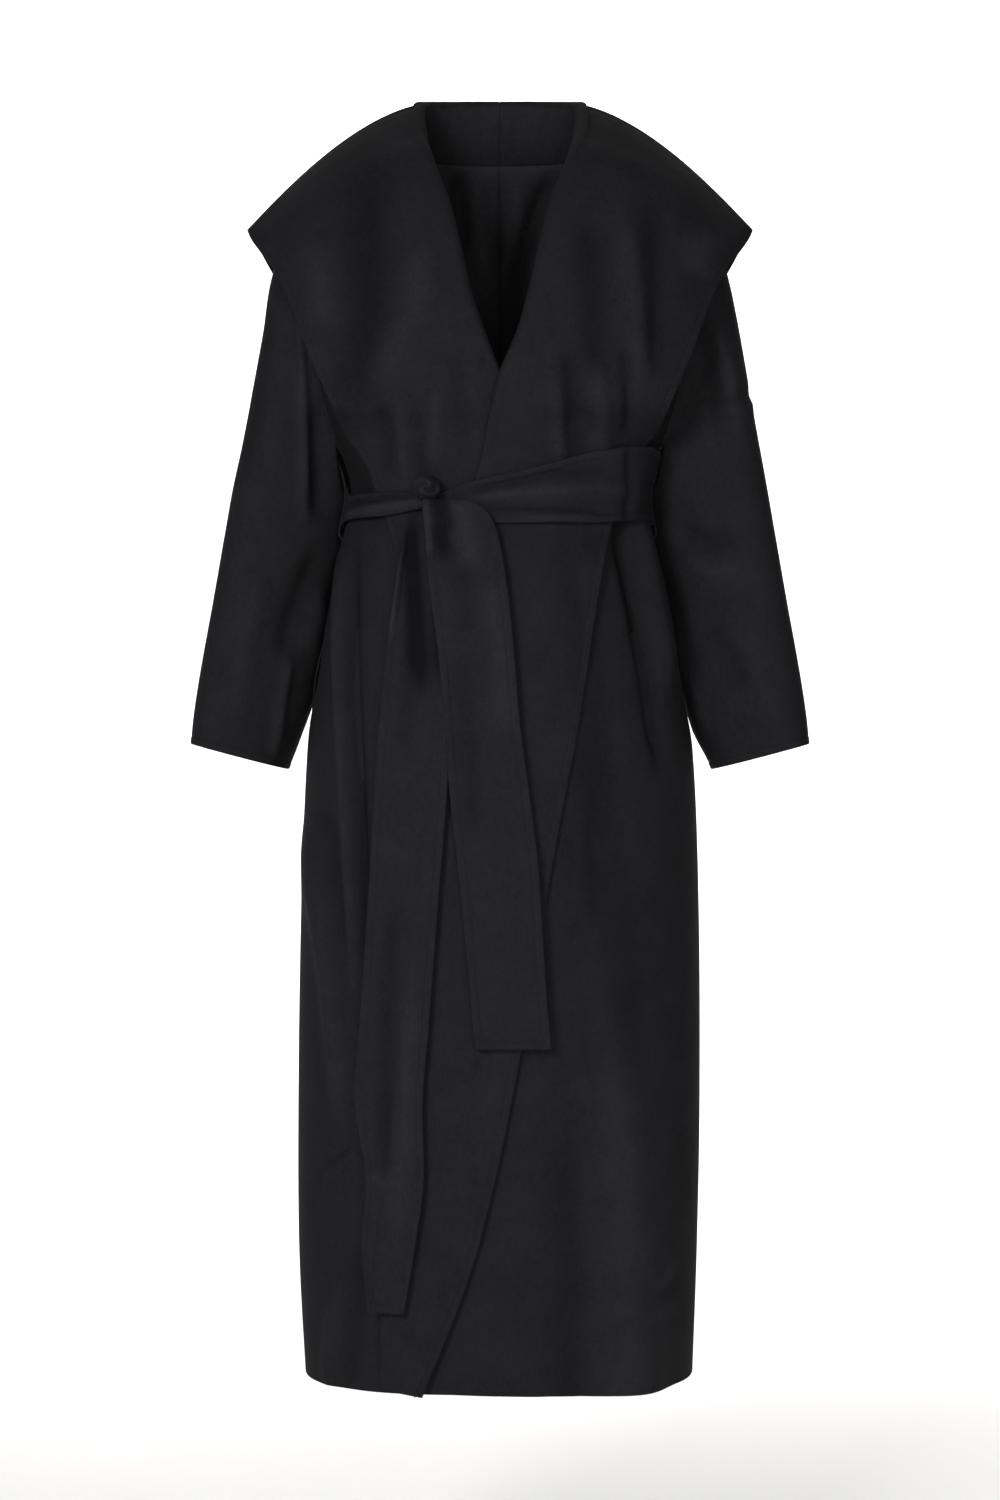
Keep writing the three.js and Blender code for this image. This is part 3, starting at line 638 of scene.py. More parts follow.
def overlap(side, x, z):
    """How far the left front stands out over the right one and its lapel."""
    if side < 0:
        return np.zeros(np.broadcast(x, z).shape)
    beside = smooth((LAP.past_fold - left_fold(z) - x) / LAP.fold_fade)
    return 2 * layer(z) * beside * smooth((LAP.top - z) / LAP.top_fade)


def stack(x, z):
    """Everything on the front at a place, for what lies on top of it all."""
    left_covers = smooth((x - left_fold(z) + COVER.before_fold) / COVER.fold_fade)
    left_leaf = layer(z) * smooth((leaf_edge(z) + COVER.past_edge - x) / COVER.edge_fade)
    right_leaf = layer(z) * smooth((x + leaf_edge(z) + COVER.past_edge) / COVER.edge_fade)
    return mix(right_leaf, overlap(1, x, z) + left_leaf, left_covers) + layer(z)


def shoulder_seam(z):
    """The gap between front and back, which is wider along the shoulder's ridge."""
    return mix(SEAM, RIDGE_SEAM, smooth((z - RIDGE_LOW) / RIDGE_FADE))


print("layers at the waist lie", round(float(layer(WAIST)), 1), "mm apart")

# %% [markdown]
# ## The fronts
#
# A shawl lapel is cut in one with its front, so one section of the cloth goes round the body from
# the side seam to the roll line, turns back on itself in a soft roll, and runs out to the free
# edge. Cutting the lapel as a separate flat piece would be simpler to model but would lose the
# roll, which is the coat's best feature: it stands full at the chest and is pressed flat at the
# waist.
#
# Columns are crowded towards the free edge, so that the rolled lip has real faces of its own.
# After the creases are in, the left front is held in front of the right one, and each lapel in
# front of its own front, so that no trough cuts through the layer below.

# %% Sections of a front
PANEL_COLUMNS = 104
FOLD_COLUMNS = 9
LEAF_EVEN_COLUMNS = 34
FRONT_ROWS = 200
LONG_SAMPLES = 1200
RIDGE_DRAW = 7
RIDGE_DRAW_ROWS = 2.5
SHORT_LEAF = 44
# The right lapel is flat where the left front covers it, and so is the roll that leads to it.
HIDDEN_LEAF = SimpleNamespace(before_fold=34, fold_fade=26, top=-170, top_fade=40)
FLAT_FOLD = SimpleNamespace(top=-200, fade=40)
BEFORE_FOLD = 0.96
CURVE_STEPS = 90
SIDE_REACH = 0.97
CHEST = -100
# The pocket's mouth in the side seam: its place, its size and how far its lips part.
MOUTH = SimpleNamespace(
    middle=-526, reach=24, share=0.13, left_gape=0.45, lip=3, inward=8, hole=6, behind=2
)
HEM_STEPS = [0, 0.45, 1.1, 2.2, 4, 6.5, 10, 14, 18, 22, 24.2, 25, 25.8, 28]


def panel_points(side, row, share):
    """A front's panel: from its outer seam, share 0, to the roll line, share 1."""
    seam = lapel.seam(row)
    inside = (seam > ARMHOLE_BOTTOM) & (seam < ARMHOLE_TOP)
    start = np.radians(np.where(inside, armhole_cut(seam), 0))
    roll_x, roll_z = side * lapel.rollX(row), lapel.rollZ(row)
    end = angle_at(side, roll_x, roll_z, overlap(side, roll_x, roll_z))
    angle = mix(start, end, share)
    z = mix(seam, roll_z, share ** lapel.rise(row))
    near = on_body(side, -1, angle, z, 0)
    points = on_body(side, -1, angle, z, overlap(side, near[..., 0], z))
    gape = mouth(side, share, z)
    points[..., 1] -= shoulder_seam(z) / 2 + MOUTH.lip * gape
    points[..., 0] -= side * MOUTH.inward * gape
    return points, end


def mouth(side, share, z):
    """How far the pocket's mouth gapes at a place near the side seam."""
    gape = 1 if side < 0 else MOUTH.left_gape
    down = np.exp(-(((z - MOUTH.middle) / MOUTH.reach) ** 2))
    return gape * down * smooth(1 - share / MOUTH.share)


def resample(line, stops):
    """Points at given lengths along each row of a grid."""
    gone = spans(line, 1)
    return np.stack(
        [
            np.stack([np.interp(stops[i], gone[i], line[i, :, k]) for k in range(3)], -1)
            for i in range(len(line))
        ]
    )


def ridge_draw(row):
    """How far the ridge over the shoulder is drawn in from an even curve."""
    return RIDGE_DRAW * smooth(1 - row / RIDGE_DRAW_ROWS)


def leaf_stops(length):
    """Places along a leaf, crowded towards its free edge at the far end."""
    scale = np.minimum(1, length / SHORT_LEAF)
    near = np.array(EDGE_STEPS[::-1]) * scale
    even = np.linspace(0, length - near[0], LEAF_EVEN_COLUMNS + 1)[:-1]
    return np.concatenate([even, length - near])


def on_panel(side, points):
    """Keeps a leaf in front of its own panel, and a right one behind the left front."""
    x, y, z = points[..., 0], points[..., 1], points[..., 2]
    reach = np.abs(x) / half_width(z, x)
    flat = front_y(x, z, overlap(side, x, z) + layer(z)) - SEAM / 2
    loose = np.minimum(y, flat)
    hold = smooth((BELT_PRESS - np.abs(z - WAIST)) / BELT_EASE)
    if side < 0:
        covered = smooth((x - left_fold(z) + HIDDEN_LEAF.before_fold) / HIDDEN_LEAF.fold_fade)
        low = smooth((HIDDEN_LEAF.top - z) / HIDDEN_LEAF.top_fade)
        hold = np.maximum(hold, covered * low)
    free = (z > CHEST) | (reach > SIDE_REACH)
    return np.stack([x, np.where(free, y, mix(loose, flat, hold)), z], -1)


def even_rows(measure, sizes, count, steps, samples):
    """Row numbers that step evenly along the cloth, and finely towards its free end."""
    fine = np.linspace(0, len(sizes) - 1, samples)
    gone = measure(fine)
    near = np.array(steps[::-1])
    even = np.linspace(0, gone[-1] - near[0], count - len(steps) + 1)[:-1]
    return np.interp(np.concatenate([even, gone[-1] - near]), gone, fine)


def front_measure(fine):
    """Length down the middle between a front's outer seam and its free edge."""
    seam = lapel.seam(fine)
    edge = np.stack([lapel.edgeX(fine), lapel.edgeZ(fine)], -1)
    steps = np.linalg.norm(np.diff(edge, axis=0), axis=1) + np.abs(np.diff(seam))
    return running(steps / 2)


def front_grid(side):
    """The mid surface of a front and its lapel, in rows from the shoulder to the hem."""
    rows = even_rows(front_measure, LAPEL, FRONT_ROWS, HEM_STEPS, LONG_SAMPLES)[:, None]
    share = np.linspace(0, 1, PANEL_COLUMNS + 1)[None]
    panel, end = panel_points(side, rows, share)
    under = smooth((FLAT_FOLD.top - lapel.rollZ(rows)) / FLAT_FOLD.fade) if side < 0 else 0
    radius = mix(lapel.radius(rows), layer(lapel.rollZ(rows)) / 2, under)[..., None]
    tip = panel[:, -1:]
    behind, _ = panel_points(side, rows, np.array([[BEFORE_FOLD]]))
    ahead = unit(tip - behind)
    out = np.stack([side * np.cos(end), -np.sin(end), 0 * end], -1)
    out = unit(out - ahead * np.sum(out * ahead, -1, keepdims=True))
    base = tip - ahead * radius
    turn = (np.pi * np.arange(1, FOLD_COLUMNS + 1) / FOLD_COLUMNS)[None, :, None]
    fold = base + ahead * radius * np.sin(turn) + out * radius * (1 - np.cos(turn))
    panel[:, -1:] = base

    start = fold[:, -1:]
    stop = np.stack(
        [side * lapel.edgeX(rows), lapel.edgeY(rows) - RIDGE_SEAM / 2, lapel.edgeZ(rows)], -1
    )
    draw = -2 * side * ridge_draw(rows)
    lift = np.stack([draw, -2 * lapel.puff(rows), 2 * lapel.puffUp(rows)], -1)
    middle = (start + stop) / 2 + lift
    t = np.linspace(0, 1, CURVE_STEPS)[None, :, None]
    curve = start * (1 - t) ** 2 + 2 * middle * t * (1 - t) + stop * t**2
    curve = on_panel(side, curve)
    lengths = spans(curve, 1)[:, -1]
    leaf = resample(curve, [leaf_stops(length) for length in lengths])[:, 1:]
    return np.concatenate([panel, fold, leaf], 1)


print("columns:", PANEL_COLUMNS + FOLD_COLUMNS + LEAF_EVEN_COLUMNS + len(EDGE_STEPS))

# %% Both fronts
FRONT_FOLDS = {
    "left panel": [
        crease(-8, 8, (108, -340), (120, -410), (131, -460), (145, -535), (158, -640)),
        crease(5, 10, (126, -340), (141, -400), (156, -470), (168, -560)),
        crease(-4, 17, (58, -900), (65, -1040), (64, -1216), (64, -1400)),
        crease(7, 30, (112, -830), (122, -980), (128, -1216), (128, -1400)),
        crease(-3, 20, (96, -560), (88, -700), (84, -800)),
        crease(1.6, 6, (95, -1098), (130, -1110), (182, -1096)),
        crease(-1.5, 6, (98, -1116), (140, -1128), (182, -1117)),
        crease(1.4, 6, (104, -1140), (138, -1134), (178, -1146)),
        crease(-1.3, 5, (92, -1160), (130, -1152), (170, -1164)),
    ],
    "left leaf": [
        crease(-4.5, 16, (86, -60), (93, -160), (96, -260)),
        crease(4.5, 12, (120, -70), (131, -170), (137, -270)),
        crease(-4, 12, (150, -50), (153, -150), (148, -250)),
        crease(5, 18, (205, -88), (190, -140)),
        crease(-5.5, 8, (64, -206), (70, -260), (75, -330)),
        crease(3.5, 7, (50, -236), (56, -280), (60, -336)),
        crease(4, 8, (92, -220), (98, -270), (100, -334)),
        crease(-5, 4.5, (120, -200), (123, -250), (124, -312)),
        crease(2, 14, (30, -600), (12, -800), (-14, -1000)),
    ],
    "right panel": [
        crease(4, 5, (-158, -352), (-159, -493), (-156, -557), (-149, -670), (-139, -860)),
        crease(-6.5, 7, (-143, -352), (-145, -493), (-142, -557), (-135, -670), (-126, -880)),
        crease(4, 8, (-196, -660), (-184, -735), (-171, -800), (-160, -890), (-150, -990)),
        crease(-3, 10, (-172, -640), (-162, -720), (-152, -800)),
        crease(1.8, 4, (-176, -1012), (-158, -1004), (-138, -988)),
        crease(-1.6, 4, (-172, -1002), (-156, -995), (-140, -982)),
        crease(3, 7, (-151, -1100), (-157, -1135), (-163, -1159), (-167, -1230)),
        crease(-2.5, 12, (-140, -1060), (-142, -1140), (-148, -1230)),
    ],
    "right leaf": [
        crease(-7, 26, (-134, 10), (-131, -110), (-132, -180), (-150, -300)),
        crease(5, 16, (-178, -92), (-174, -150), (-166, -200)),
        crease(5, 20, (-60, -90), (-84, -180), (-128, -262)),
        crease(-4.5, 7, (-116, -262), (-111, -296), (-108, -340)),
        crease(4, 6, (-97, -256), (-93, -300), (-90, -342)),
        crease(-4, 6, (-80, -270), (-78, -305), (-77, -345)),
        crease(3, 8, (-60, -240), (-62, -290), (-66, -345)),
        crease(-2.5, 9, (-36, -220), (-38, -270), (-40, -330)),
    ],
}


LEAF_FROM = PANEL_COLUMNS + 1 + FOLD_COLUMNS
LEAF_FADE_COLUMNS = 6
LEAF_EDGE_IN = 6
LEAF_EDGE_FADE = 16
LEAF_REST = 0.72
MOST_SINK = 2.3
SINK_ALONE = 14
# The strip of a front beside its lapel, above the belt, which is painted darker as the lapel's
# cast shadow.
SHADE_BESIDE = SimpleNamespace(off=9, wide=13, deep=1.1, top=-210, fade=60, low=-400, low_fade=30)


def beside_leaf(side, x, z):
    """How close a place of the panel lies to the leaf that hangs over it, above the belt, which
    sets the painted shadow there.
    """
    near = np.exp(-(((side * x - leaf_edge(z) - SHADE_BESIDE.off) / SHADE_BESIDE.wide) ** 2))
    below_top = smooth((SHADE_BESIDE.top - z) / SHADE_BESIDE.fade)
    return near * below_top * smooth((z - SHADE_BESIDE.low) / SHADE_BESIDE.low_fade)


def keep_order(side, grid, column):
    """Stops troughs of the left front short of the right one, and of a leaf short of its panel."""
    x, y, z = grid[..., 0], grid[..., 1], grid[..., 2]
    over = overlap(side, x, z)
    sink = MOST_SINK + SINK_ALONE * (1 - over / (2 * layer(z)))
    on_right = (column <= PANEL_COLUMNS) & (side > 0) & (z < LAP.top)
    y = np.where(on_right, np.minimum(y, front_y(x, z, over - sink)), y)
    nearest = front_y(x, z, over + LEAF_REST * layer(z))
    held = (column >= LEAF_FROM) & (z < CHEST) & (np.abs(x) < SIDE_REACH * half_width(z, x))
    return np.stack([x, np.where(held, np.minimum(y, nearest), y), z], -1)


def shape_front(side, word):
    """A front with its creases, as a wall of cloth."""
    grid = front_grid(side)
    place = grid[..., [0, 2]]
    x, z = place[..., 0], place[..., 1]
    column = np.arange(grid.shape[1])[None]
    on_leaf = smooth((column - LEAF_FROM + 1) / LEAF_FADE_COLUMNS)
    shown = smooth((side * x - leaf_edge(z) + LEAF_EDGE_IN) / LEAF_EDGE_FADE)
    on_shown = shown * (column <= PANEL_COLUMNS)
    panel_lift = crease_lift(place, FRONT_FOLDS[f"{word} panel"]) * on_shown
    leaf_lift = crease_lift(place, FRONT_FOLDS[f"{word} leaf"]) * on_leaf
    # The panel beside its lapel is painted darker, as the lapel's painted cast shadow.
    leaf_painted_shadow = SHADE_BESIDE.deep * beside_leaf(side, x, z) * (column <= PANEL_COLUMNS)
    # The leaf is the same cloth turned back, so outwards is the other way on it.
    outward = side * (leaf_lift - panel_lift)
    grid = keep_order(side, grid + directions(grid) * outward[..., None], column)
    # The lapel is painted darker near the shoulder's ridge, as painted shade, and painted light
    # and shade follow its folds.
    ridge_painted_shade = np.exp(-((spans(grid, 0) / RIDGE_SHADE_MM) ** 2)) * on_leaf
    shading_paint = painted_fold_shading(panel_lift + leaf_lift) - ridge_painted_shade - leaf_painted_shadow
    sewn = np.minimum(spans(grid, 1), to_border(grid, 0))
    return cloth_wall(f"coat_front_{word}", grid, to_end(grid, 1), sewn, coat_wool, rub=shading_paint)


fronts = both(shape_front)
print("fronts:", faces(fronts), "faces")

# %% [markdown]
# ## The backs
#
# Two long panels meet in a centre back seam. They have no lapel, so a section is only the body's
# own curve from the side seam to the middle. The back hangs from the shoulder blades in a few
# broad, shallow flutes that widen towards the hem.

# %% Both backs
BACK_COLUMNS = 60
BACK_ROWS = 200
CENTRE_RISE = 1.02
BACK_SEAM_FADE = 10
# Where the back shows its inner face through the neck, and how much lighter its top is painted
# there, as painted light.
INSIDE_NECK = SimpleNamespace(low=-230, fade=60, top=-80, top_fade=70, neck_painted_light=0.9)
BACK_FOLDS = {
    "left": [
        crease(8, 8, (54, -10), (40, -42), (26, -80), (8, -132)),
        crease(-8, 10, (70, -14), (54, -60), (36, -112), (16, -170)),
        crease(-3, 9, (20, -12), (16, -70), (10, -130)),
        crease(5, 26, (54, -440), (60, -760), (68, -1216), (68, -1400)),
        crease(-5, 26, (100, -440), (108, -760), (120, -1216), (120, -1400)),
        crease(4, 16, (136, -390), (148, -520), (160, -760)),
        crease(-3, 16, (40, -180), (84, -226), (130, -276)),
        crease(2.5, 12, (60, -300), (96, -270), (140, -246)),
    ],
    "right": [
        crease(7, 8, (-44, -6), (-42, -50), (-36, -100)),
        crease(-5, 9, (-26, -8), (-22, -60), (-14, -130)),
        crease(-4.5, 9, (-62, -10), (-58, -60), (-48, -120)),
        crease(4.5, 26, (-46, -460), (-54, -780), (-60, -1216), (-60, -1400)),
        crease(-4.5, 24, (-92, -440), (-100, -760), (-114, -1216), (-114, -1400)),
        crease(4.5, 14, (-140, -392), (-151, -560), (-158, -840)),
        crease(-2.5, 15, (-44, -190), (-88, -228), (-132, -282)),
        crease(2.5, 11, (-54, -306), (-100, -274), (-146, -240)),
    ],
}


def back_measure(fine):
    """Length down the outer seam of a back."""
    return running(np.abs(np.diff(lapel.seam(fine))))


def back_grid(side):
    """The mid surface of a back, from its outer seam to the centre seam."""
    rows = even_rows(back_measure, LAPEL, BACK_ROWS, HEM_STEPS, LONG_SAMPLES)[:, None]
    seam = lapel.seam(rows)
    inside = (seam > ARMHOLE_BOTTOM) & (seam < ARMHOLE_TOP)
    start = np.radians(np.where(inside, armhole_cut(seam), 0))
    share = np.linspace(0, 1, BACK_COLUMNS + 1)[None]
    z = np.maximum(mix(seam, np.minimum(seam * CENTRE_RISE, NECK_SEAM), share**2), HEM)
    grid = on_body(side, 1, mix(start, np.pi / 2, share), z, 0)
    grid[..., 0] += share * side * SEAM / 2
    grid[..., 1] += (1 - share) * shoulder_seam(z) / 2 - MOUTH.hole * mouth(side, share, z)
    grid[..., 0] += side * MOUTH.behind * mouth(side, share, z)
    return grid


def shape_back(side, word):
    """A back with its flutes, as a wall of cloth."""
    grid = back_grid(side)
    lift = crease_lift(grid[..., [0, 2]], BACK_FOLDS[word])
    from_seams = to_border(grid, 1)
    grid = grid + directions(grid) * (side * lift * smooth(from_seams / BACK_SEAM_FADE))[..., None]
    z = grid[..., 2]
    # Inside the neck the cloth is seen from its other face, so its ridges are troughs there and
    # its painted light and shade are swapped; the top of the inside is painted lighter, as painted
    # light.
    inside = smooth((z - INSIDE_NECK.low) / INSIDE_NECK.fade)
    neck_painted_light = INSIDE_NECK.neck_painted_light * smooth((z - INSIDE_NECK.top) / INSIDE_NECK.top_fade)
    shading_paint = mix(painted_fold_shading(lift), -painted_fold_shading(lift), inside) + neck_painted_light
    sewn = np.minimum(from_seams, to_border(grid, 0))
    return cloth_wall(f"coat_back_{word}", grid, nowhere(grid), sewn, coat_wool, rub=shading_paint)


backs = both(shape_back)
print("backs:", faces(backs), "faces")

# %% [markdown]
# ## The sleeves
#
# Each sleeve is a tube of rings from the armhole to the cuff. The rings tilt as the arm does, and
# the top ring follows the armhole, so that the seam is one curve shared with the body. The cloth
# creases where the arm hangs off the shoulder, at the inner elbow and a little above the cuff.
# The tube rests beside the body at the waist: whatever of it would lie inside the body's side is
# moved out, and clear of the strap that holds the belt.

# %% Both sleeves
SLEEVE = table(
    "row outerX outerZ innerX innerZ front back middle lean",
    (0, 203, -76, 168, -298, 57, 58, 5, 0),
    (1, 215, -93, 159, -309, 59, 60, 5, 16),
    (2, 227, -128, 150, -324, 61, 62, 4, 36),
    (3, 238, -182, 144, -343, 61, 62, 2, 50),
    (4, 251, -258, 150, -372, 60, 61, 0, 52),
    (5, 263, -325, 154, -398, 59, 60, -3, 50),
    (6, 274, -390, 165, -434, 57, 58, -7, 48),
    (7, 285, -455, 175, -481, 56, 57, -11, 48),
    (8, 296, -517, 186, -540, 55, 56, -14, 48),
    (9, 303, -563, 203, -590, 54, 55, -16, 44),
    (10, 306, -594, 214, -619, 53, 54, -17, 40),
)
SLEEVE_START = CLOTH + 0.3
SLEEVE_SIDES = 132
SLEEVE_ROWS = 124
SLEEVE_SAMPLES = 800
HEAD_ROWS = 1.5
HEAD_FADE = 22
# The front half of a sleeve carries its creases; the back half has the same, lower and weaker.
FRONT_HALF = SimpleNamespace(middle=20, fade=40)
BACK_FOLDS_LOWER = 14
BACK_FOLDS_SHARE = 0.8
sleeve = tracks(SLEEVE, "row")
SLEEVE_FOLDS = {
    "left": [
        crease(-4, 10, (192, -150), (208, -212), (220, -300)),
        crease(3, 9, (206, -160), (226, -226), (240, -300)),
        crease(-1.8, 6, (206, -256), (232, -252), (256, -240)),
        crease(1.8, 6, (212, -264), (236, -262), (254, -254)),
        crease(-3.5, 10, (172, -372), (204, -396), (238, -392)),
        crease(3, 10, (178, -404), (210, -424), (246, -418)),
        crease(3.5, 5, (170, -440), (185, -506), (197, -551), (210, -600)),
        crease(-2.4, 12, (196, -470), (222, -500), (240, -548)),
        crease(2, 14, (232, -470), (256, -520), (268, -580)),
    ],
    "right": [
        crease(4, 5, (-197, -128), (-196, -200), (-195, -280), (-194, -392)),
        crease(-4, 9, (-183, -240), (-181, -300), (-180, -380)),
        crease(-3.5, 10, (-176, -388), (-192, -430), (-208, -470), (-216, -520)),
        crease(3.5, 9, (-176, -430), (-184, -470), (-194, -510)),
        crease(3.5, 5, (-208, -500), (-217, -548), (-227, -616)),
        crease(2.5, 12, (-232, -420), (-248, -480), (-262, -560)),
        crease(-2, 14, (-230, -130), (-240, -240), (-254, -350)),
    ],
}


# How far a sleeve rests off the body's side, and where it gives way to the belt's strap.
SLEEVE_REST = 1.2
REST_START = 6
REST_FADE = 16
OFF_LOOP = SimpleNamespace(deep=13, z=-346, tall=56, out=8)


def armhole_ring(side, turn):
    """The top ring of a sleeve, along the armhole of front and back."""
    z = mix(ARMHOLE_BOTTOM, ARMHOLE_TOP, (1 + np.cos(turn)) / 2)
    cut = np.radians(np.maximum(armhole_cut(z), 0))
    front = on_body(side, -1, cut, z, 0)
    back = on_body(side, 1, cut, z, 0)
    ring = np.where((np.sin(turn) >= 0)[:, None], front, back)
    ring[:, 0] += side * SLEEVE_START
    return ring


def beside_body(side, grid):
    """Moves whatever lies inside the body's side out of it, and clear of the belt's loop."""
    x, y, z = grid[..., 0], grid[..., 1], grid[..., 2]
    near = np.exp(-((y / OFF_LOOP.deep) ** 2)) * np.exp(-(((z - OFF_LOOP.z) / OFF_LOOP.tall) ** 4))
    out = CLOTH + SLEEVE_REST + OFF_LOOP.out * near
    wide = half_width(z, x) + out
    deep = np.where(y < 0, body.front(z), body.back(z)) + out
    share = np.clip(np.abs(y - body.middle(z)) / deep, 0, 1)
    least = wide * (1 - share**ROUNDNESS) ** (1 / ROUNDNESS)
    hold = smooth((ARMHOLE_BOTTOM + REST_START - z) / REST_FADE)
    return np.stack([mix(x, side * np.maximum(side * x, least), hold), y, z], -1)


def sleeve_measure(fine):
    """Length down the outer side of a sleeve."""
    outer = np.stack([sleeve.outerX(fine), sleeve.outerZ(fine)], -1)
    return running(np.linalg.norm(np.diff(outer, axis=0), axis=1))


def sleeve_grid(side):
    """The mid surface of a sleeve, ring by ring from the armhole to the cuff."""
    rows = even_rows(sleeve_measure, SLEEVE, SLEEVE_ROWS, EDGE_STEPS, SLEEVE_SAMPLES)
    turn = 2 * np.pi * np.arange(SLEEVE_SIDES) / SLEEVE_SIDES
    start = armhole_ring(side, turn)
    rings = []
    for row in rows:
        middle = sleeve.middle(row)
        outer = np.array([side * sleeve.outerX(row), middle, sleeve.outerZ(row)])
        behind = middle + sleeve.lean(row)
        inner = np.array([side * sleeve.innerX(row), behind, sleeve.innerZ(row)])
        centre = (outer + inner) / 2
        ring = centre + (outer - centre) * root(np.cos(turn))[:, None]
        depth = np.where(np.sin(turn) > 0, -sleeve.front(row), sleeve.back(row))
        ring[:, 1] += depth * np.abs(root(np.sin(turn)))
        rings.append(mix(start, ring, smooth(row / HEAD_ROWS)))
    return beside_body(side, np.array(rings))


def shape_sleeve(side, word):
    """A sleeve with its creases, as a tube of cloth open at both ends."""
    grid = sleeve_grid(side)
    place = grid[..., [0, 2]]
    in_front = smooth((FRONT_HALF.middle - grid[..., 1]) / FRONT_HALF.fade)
    folds = crease_lift(place, SLEEVE_FOLDS[word]) * in_front
    lower = place + [0, BACK_FOLDS_LOWER]
    folds += crease_lift(lower, SLEEVE_FOLDS[word]) * (1 - in_front) * BACK_FOLDS_SHARE
    down = spans(grid, 0)
    outward = directions(grid, True)
    middle = grid.mean(1, keepdims=True)
    outward *= np.sign(np.sum(outward * (grid - middle), -1).mean())
    up = to_end(grid, 0)
    # Painted light on the sleeve's fold tops, painted shade in its troughs.
    shading_paint = painted_fold_shading(folds)
    grid = grid + outward * (folds * smooth(down / HEAD_FADE))[..., None]
    return cloth_wall(f"coat_sleeve_{word}", grid, up, down, coat_wool, closed=True, rub=shading_paint)


sleeves = both(shape_sleeve)
print("sleeves:", faces(sleeves), "faces")

# %% [markdown]
# ## The hood
#
# The hood is thrown back, so it reads as a deep collar: a stand that rises from the neck seam, a
# soft roll, and a leaf that falls over the shoulders with its lower edge turned under where the
# crown folds. In front it runs on into the lapels at the shoulder ridge.

# %% Both halves of the hood
HOOD = table(
    "row seamX seamY rollX rollY rollZ radius edgeX edgeY edgeZ puff puffUp curl",
    (0, 87, 10, 77, 15, 49, 4.5, 253, 5, -80, 0, 23, 0),
    (1, 78, 36, 70, 37, 54, 6.5, 224, 66, -140, 16, 22, 0.35),
    (2, 58, 53, 50, 58, 59, 8, 186, 106, -222, 24, 18, 0.9),
    (3, 30, 62, 26, 68, 62, 8, 106, 136, -282, 28, 14, 1),
    (4, 0, 65, 0, 72, 63, 8, 0, 146, -306, 30, 12, 1),
)
HOOD_CURL_LENGTH = 48
HOOD_EDGE_LENGTH = 6
HOOD_ROWS = 110
HOOD_STAND_COLUMNS = 14
HOOD_LEAF_COLUMNS = 58
HOOD_CURL_COLUMNS = 22
# Folds end at the seams, and the curled edge takes up a part of the leaf's own length.
HOOD_SEAM_FADE = 16
CURL_ROOM = 0.35
# The inside of the stand is painted dark at the neck seam, as painted shade, and pale at the roll,
# as painted light.
STAND_PAINTED_SHADING = (-1, 0.8)
hood = tracks(HOOD, "row")
HOOD_FOLDS = {
    "left": [
        crease(4, 14, (40, -40), (58, -120), (64, -230)),
        crease(-4, 12, (74, -50), (96, -130), (108, -220)),
        crease(3, 10, (110, -40), (146, -110), (168, -178)),
        crease(-2.5, 10, (132, -20), (178, -70), (212, -120)),
    ],
    "right": [
        crease(3.6, 14, (-34, -52), (-50, -140), (-58, -250)),
        crease(-4, 12, (-66, -44), (-92, -120), (-112, -230)),
        crease(3, 10, (-104, -46), (-142, -104), (-172, -184)),
        crease(-2.5, 10, (-138, -26), (-180, -76), (-208, -126)),
    ],
}


def hood_section(side, row):
    """One section of the hood: its stand, roll, leaf and curled edge."""
    ease = row / (len(HOOD) - 1)
    seam = np.array([side * hood.seamX(row), hood.seamY(row), LAPEL[0]["seam"] + SEAM])
    roll = np.array([side * hood.rollX(row), hood.rollY(row), hood.rollZ(row)])
    ahead = unit(roll - seam)
    facing = np.radians(90 * ease)
    outward = np.array([side * np.cos(facing), np.sin(facing), 0])
    outward = unit(outward - ahead * (ahead @ outward))
    radius = hood.radius(row)
    base = roll - ahead * radius
    stand = mix(seam, base, np.linspace(0, 1, HOOD_STAND_COLUMNS + 1)[:, None])
    turn = (np.pi * np.arange(1, FOLD_COLUMNS + 1) / FOLD_COLUMNS)[:, None]
    fold = base + radius * (ahead * np.sin(turn) + outward * (1 - np.cos(turn)))

    start = fold[-1]
    stop = np.array([side * hood.edgeX(row), hood.edgeY(row), hood.edgeZ(row)])
    lift = outward * 2 * hood.puff(row)
    lift = lift + np.array([-2 * side * ridge_draw(row), 0, 2 * hood.puffUp(row)])
    middle = (start + stop) / 2 + lift
    curl = np.clip(hood.curl(row), 0, 1)
    turned = mix(HOOD_EDGE_LENGTH, HOOD_CURL_LENGTH, curl)
    t = np.linspace(0, 1, 120)[:, None]
    whole = start * (1 - t) ** 2 + 2 * middle * t * (1 - t) + stop * t**2
    length = np.linalg.norm(np.diff(whole, axis=0), axis=1).sum()
    until = 1 - turned / length * mix(1, CURL_ROOM, curl)
    t = until * np.arange(1, HOOD_LEAF_COLUMNS + 1)[:, None] / HOOD_LEAF_COLUMNS
    leaf = start * (1 - t) ** 2 + 2 * middle * t * (1 - t) + stop * t**2

    edge = leaf[-1]
    down = unit(2 * (1 - until) * (middle - start) + 2 * until * (stop - middle))
    inward = unit(-outward + down * (outward @ down))
    full = max(curl, 0.01) * np.pi
    bend = turned / full
    turn = (full * np.arange(1, HOOD_CURL_COLUMNS + 1) / HOOD_CURL_COLUMNS)[:, None]
    under = edge + bend * (down * np.sin(turn) + inward * (1 - np.cos(turn)))
    section = np.concatenate([stand, fold, leaf, under])
    return section + [ease * side * HOOD_SEAM / 2, (1 - ease) * RIDGE_SEAM / 2, 0]


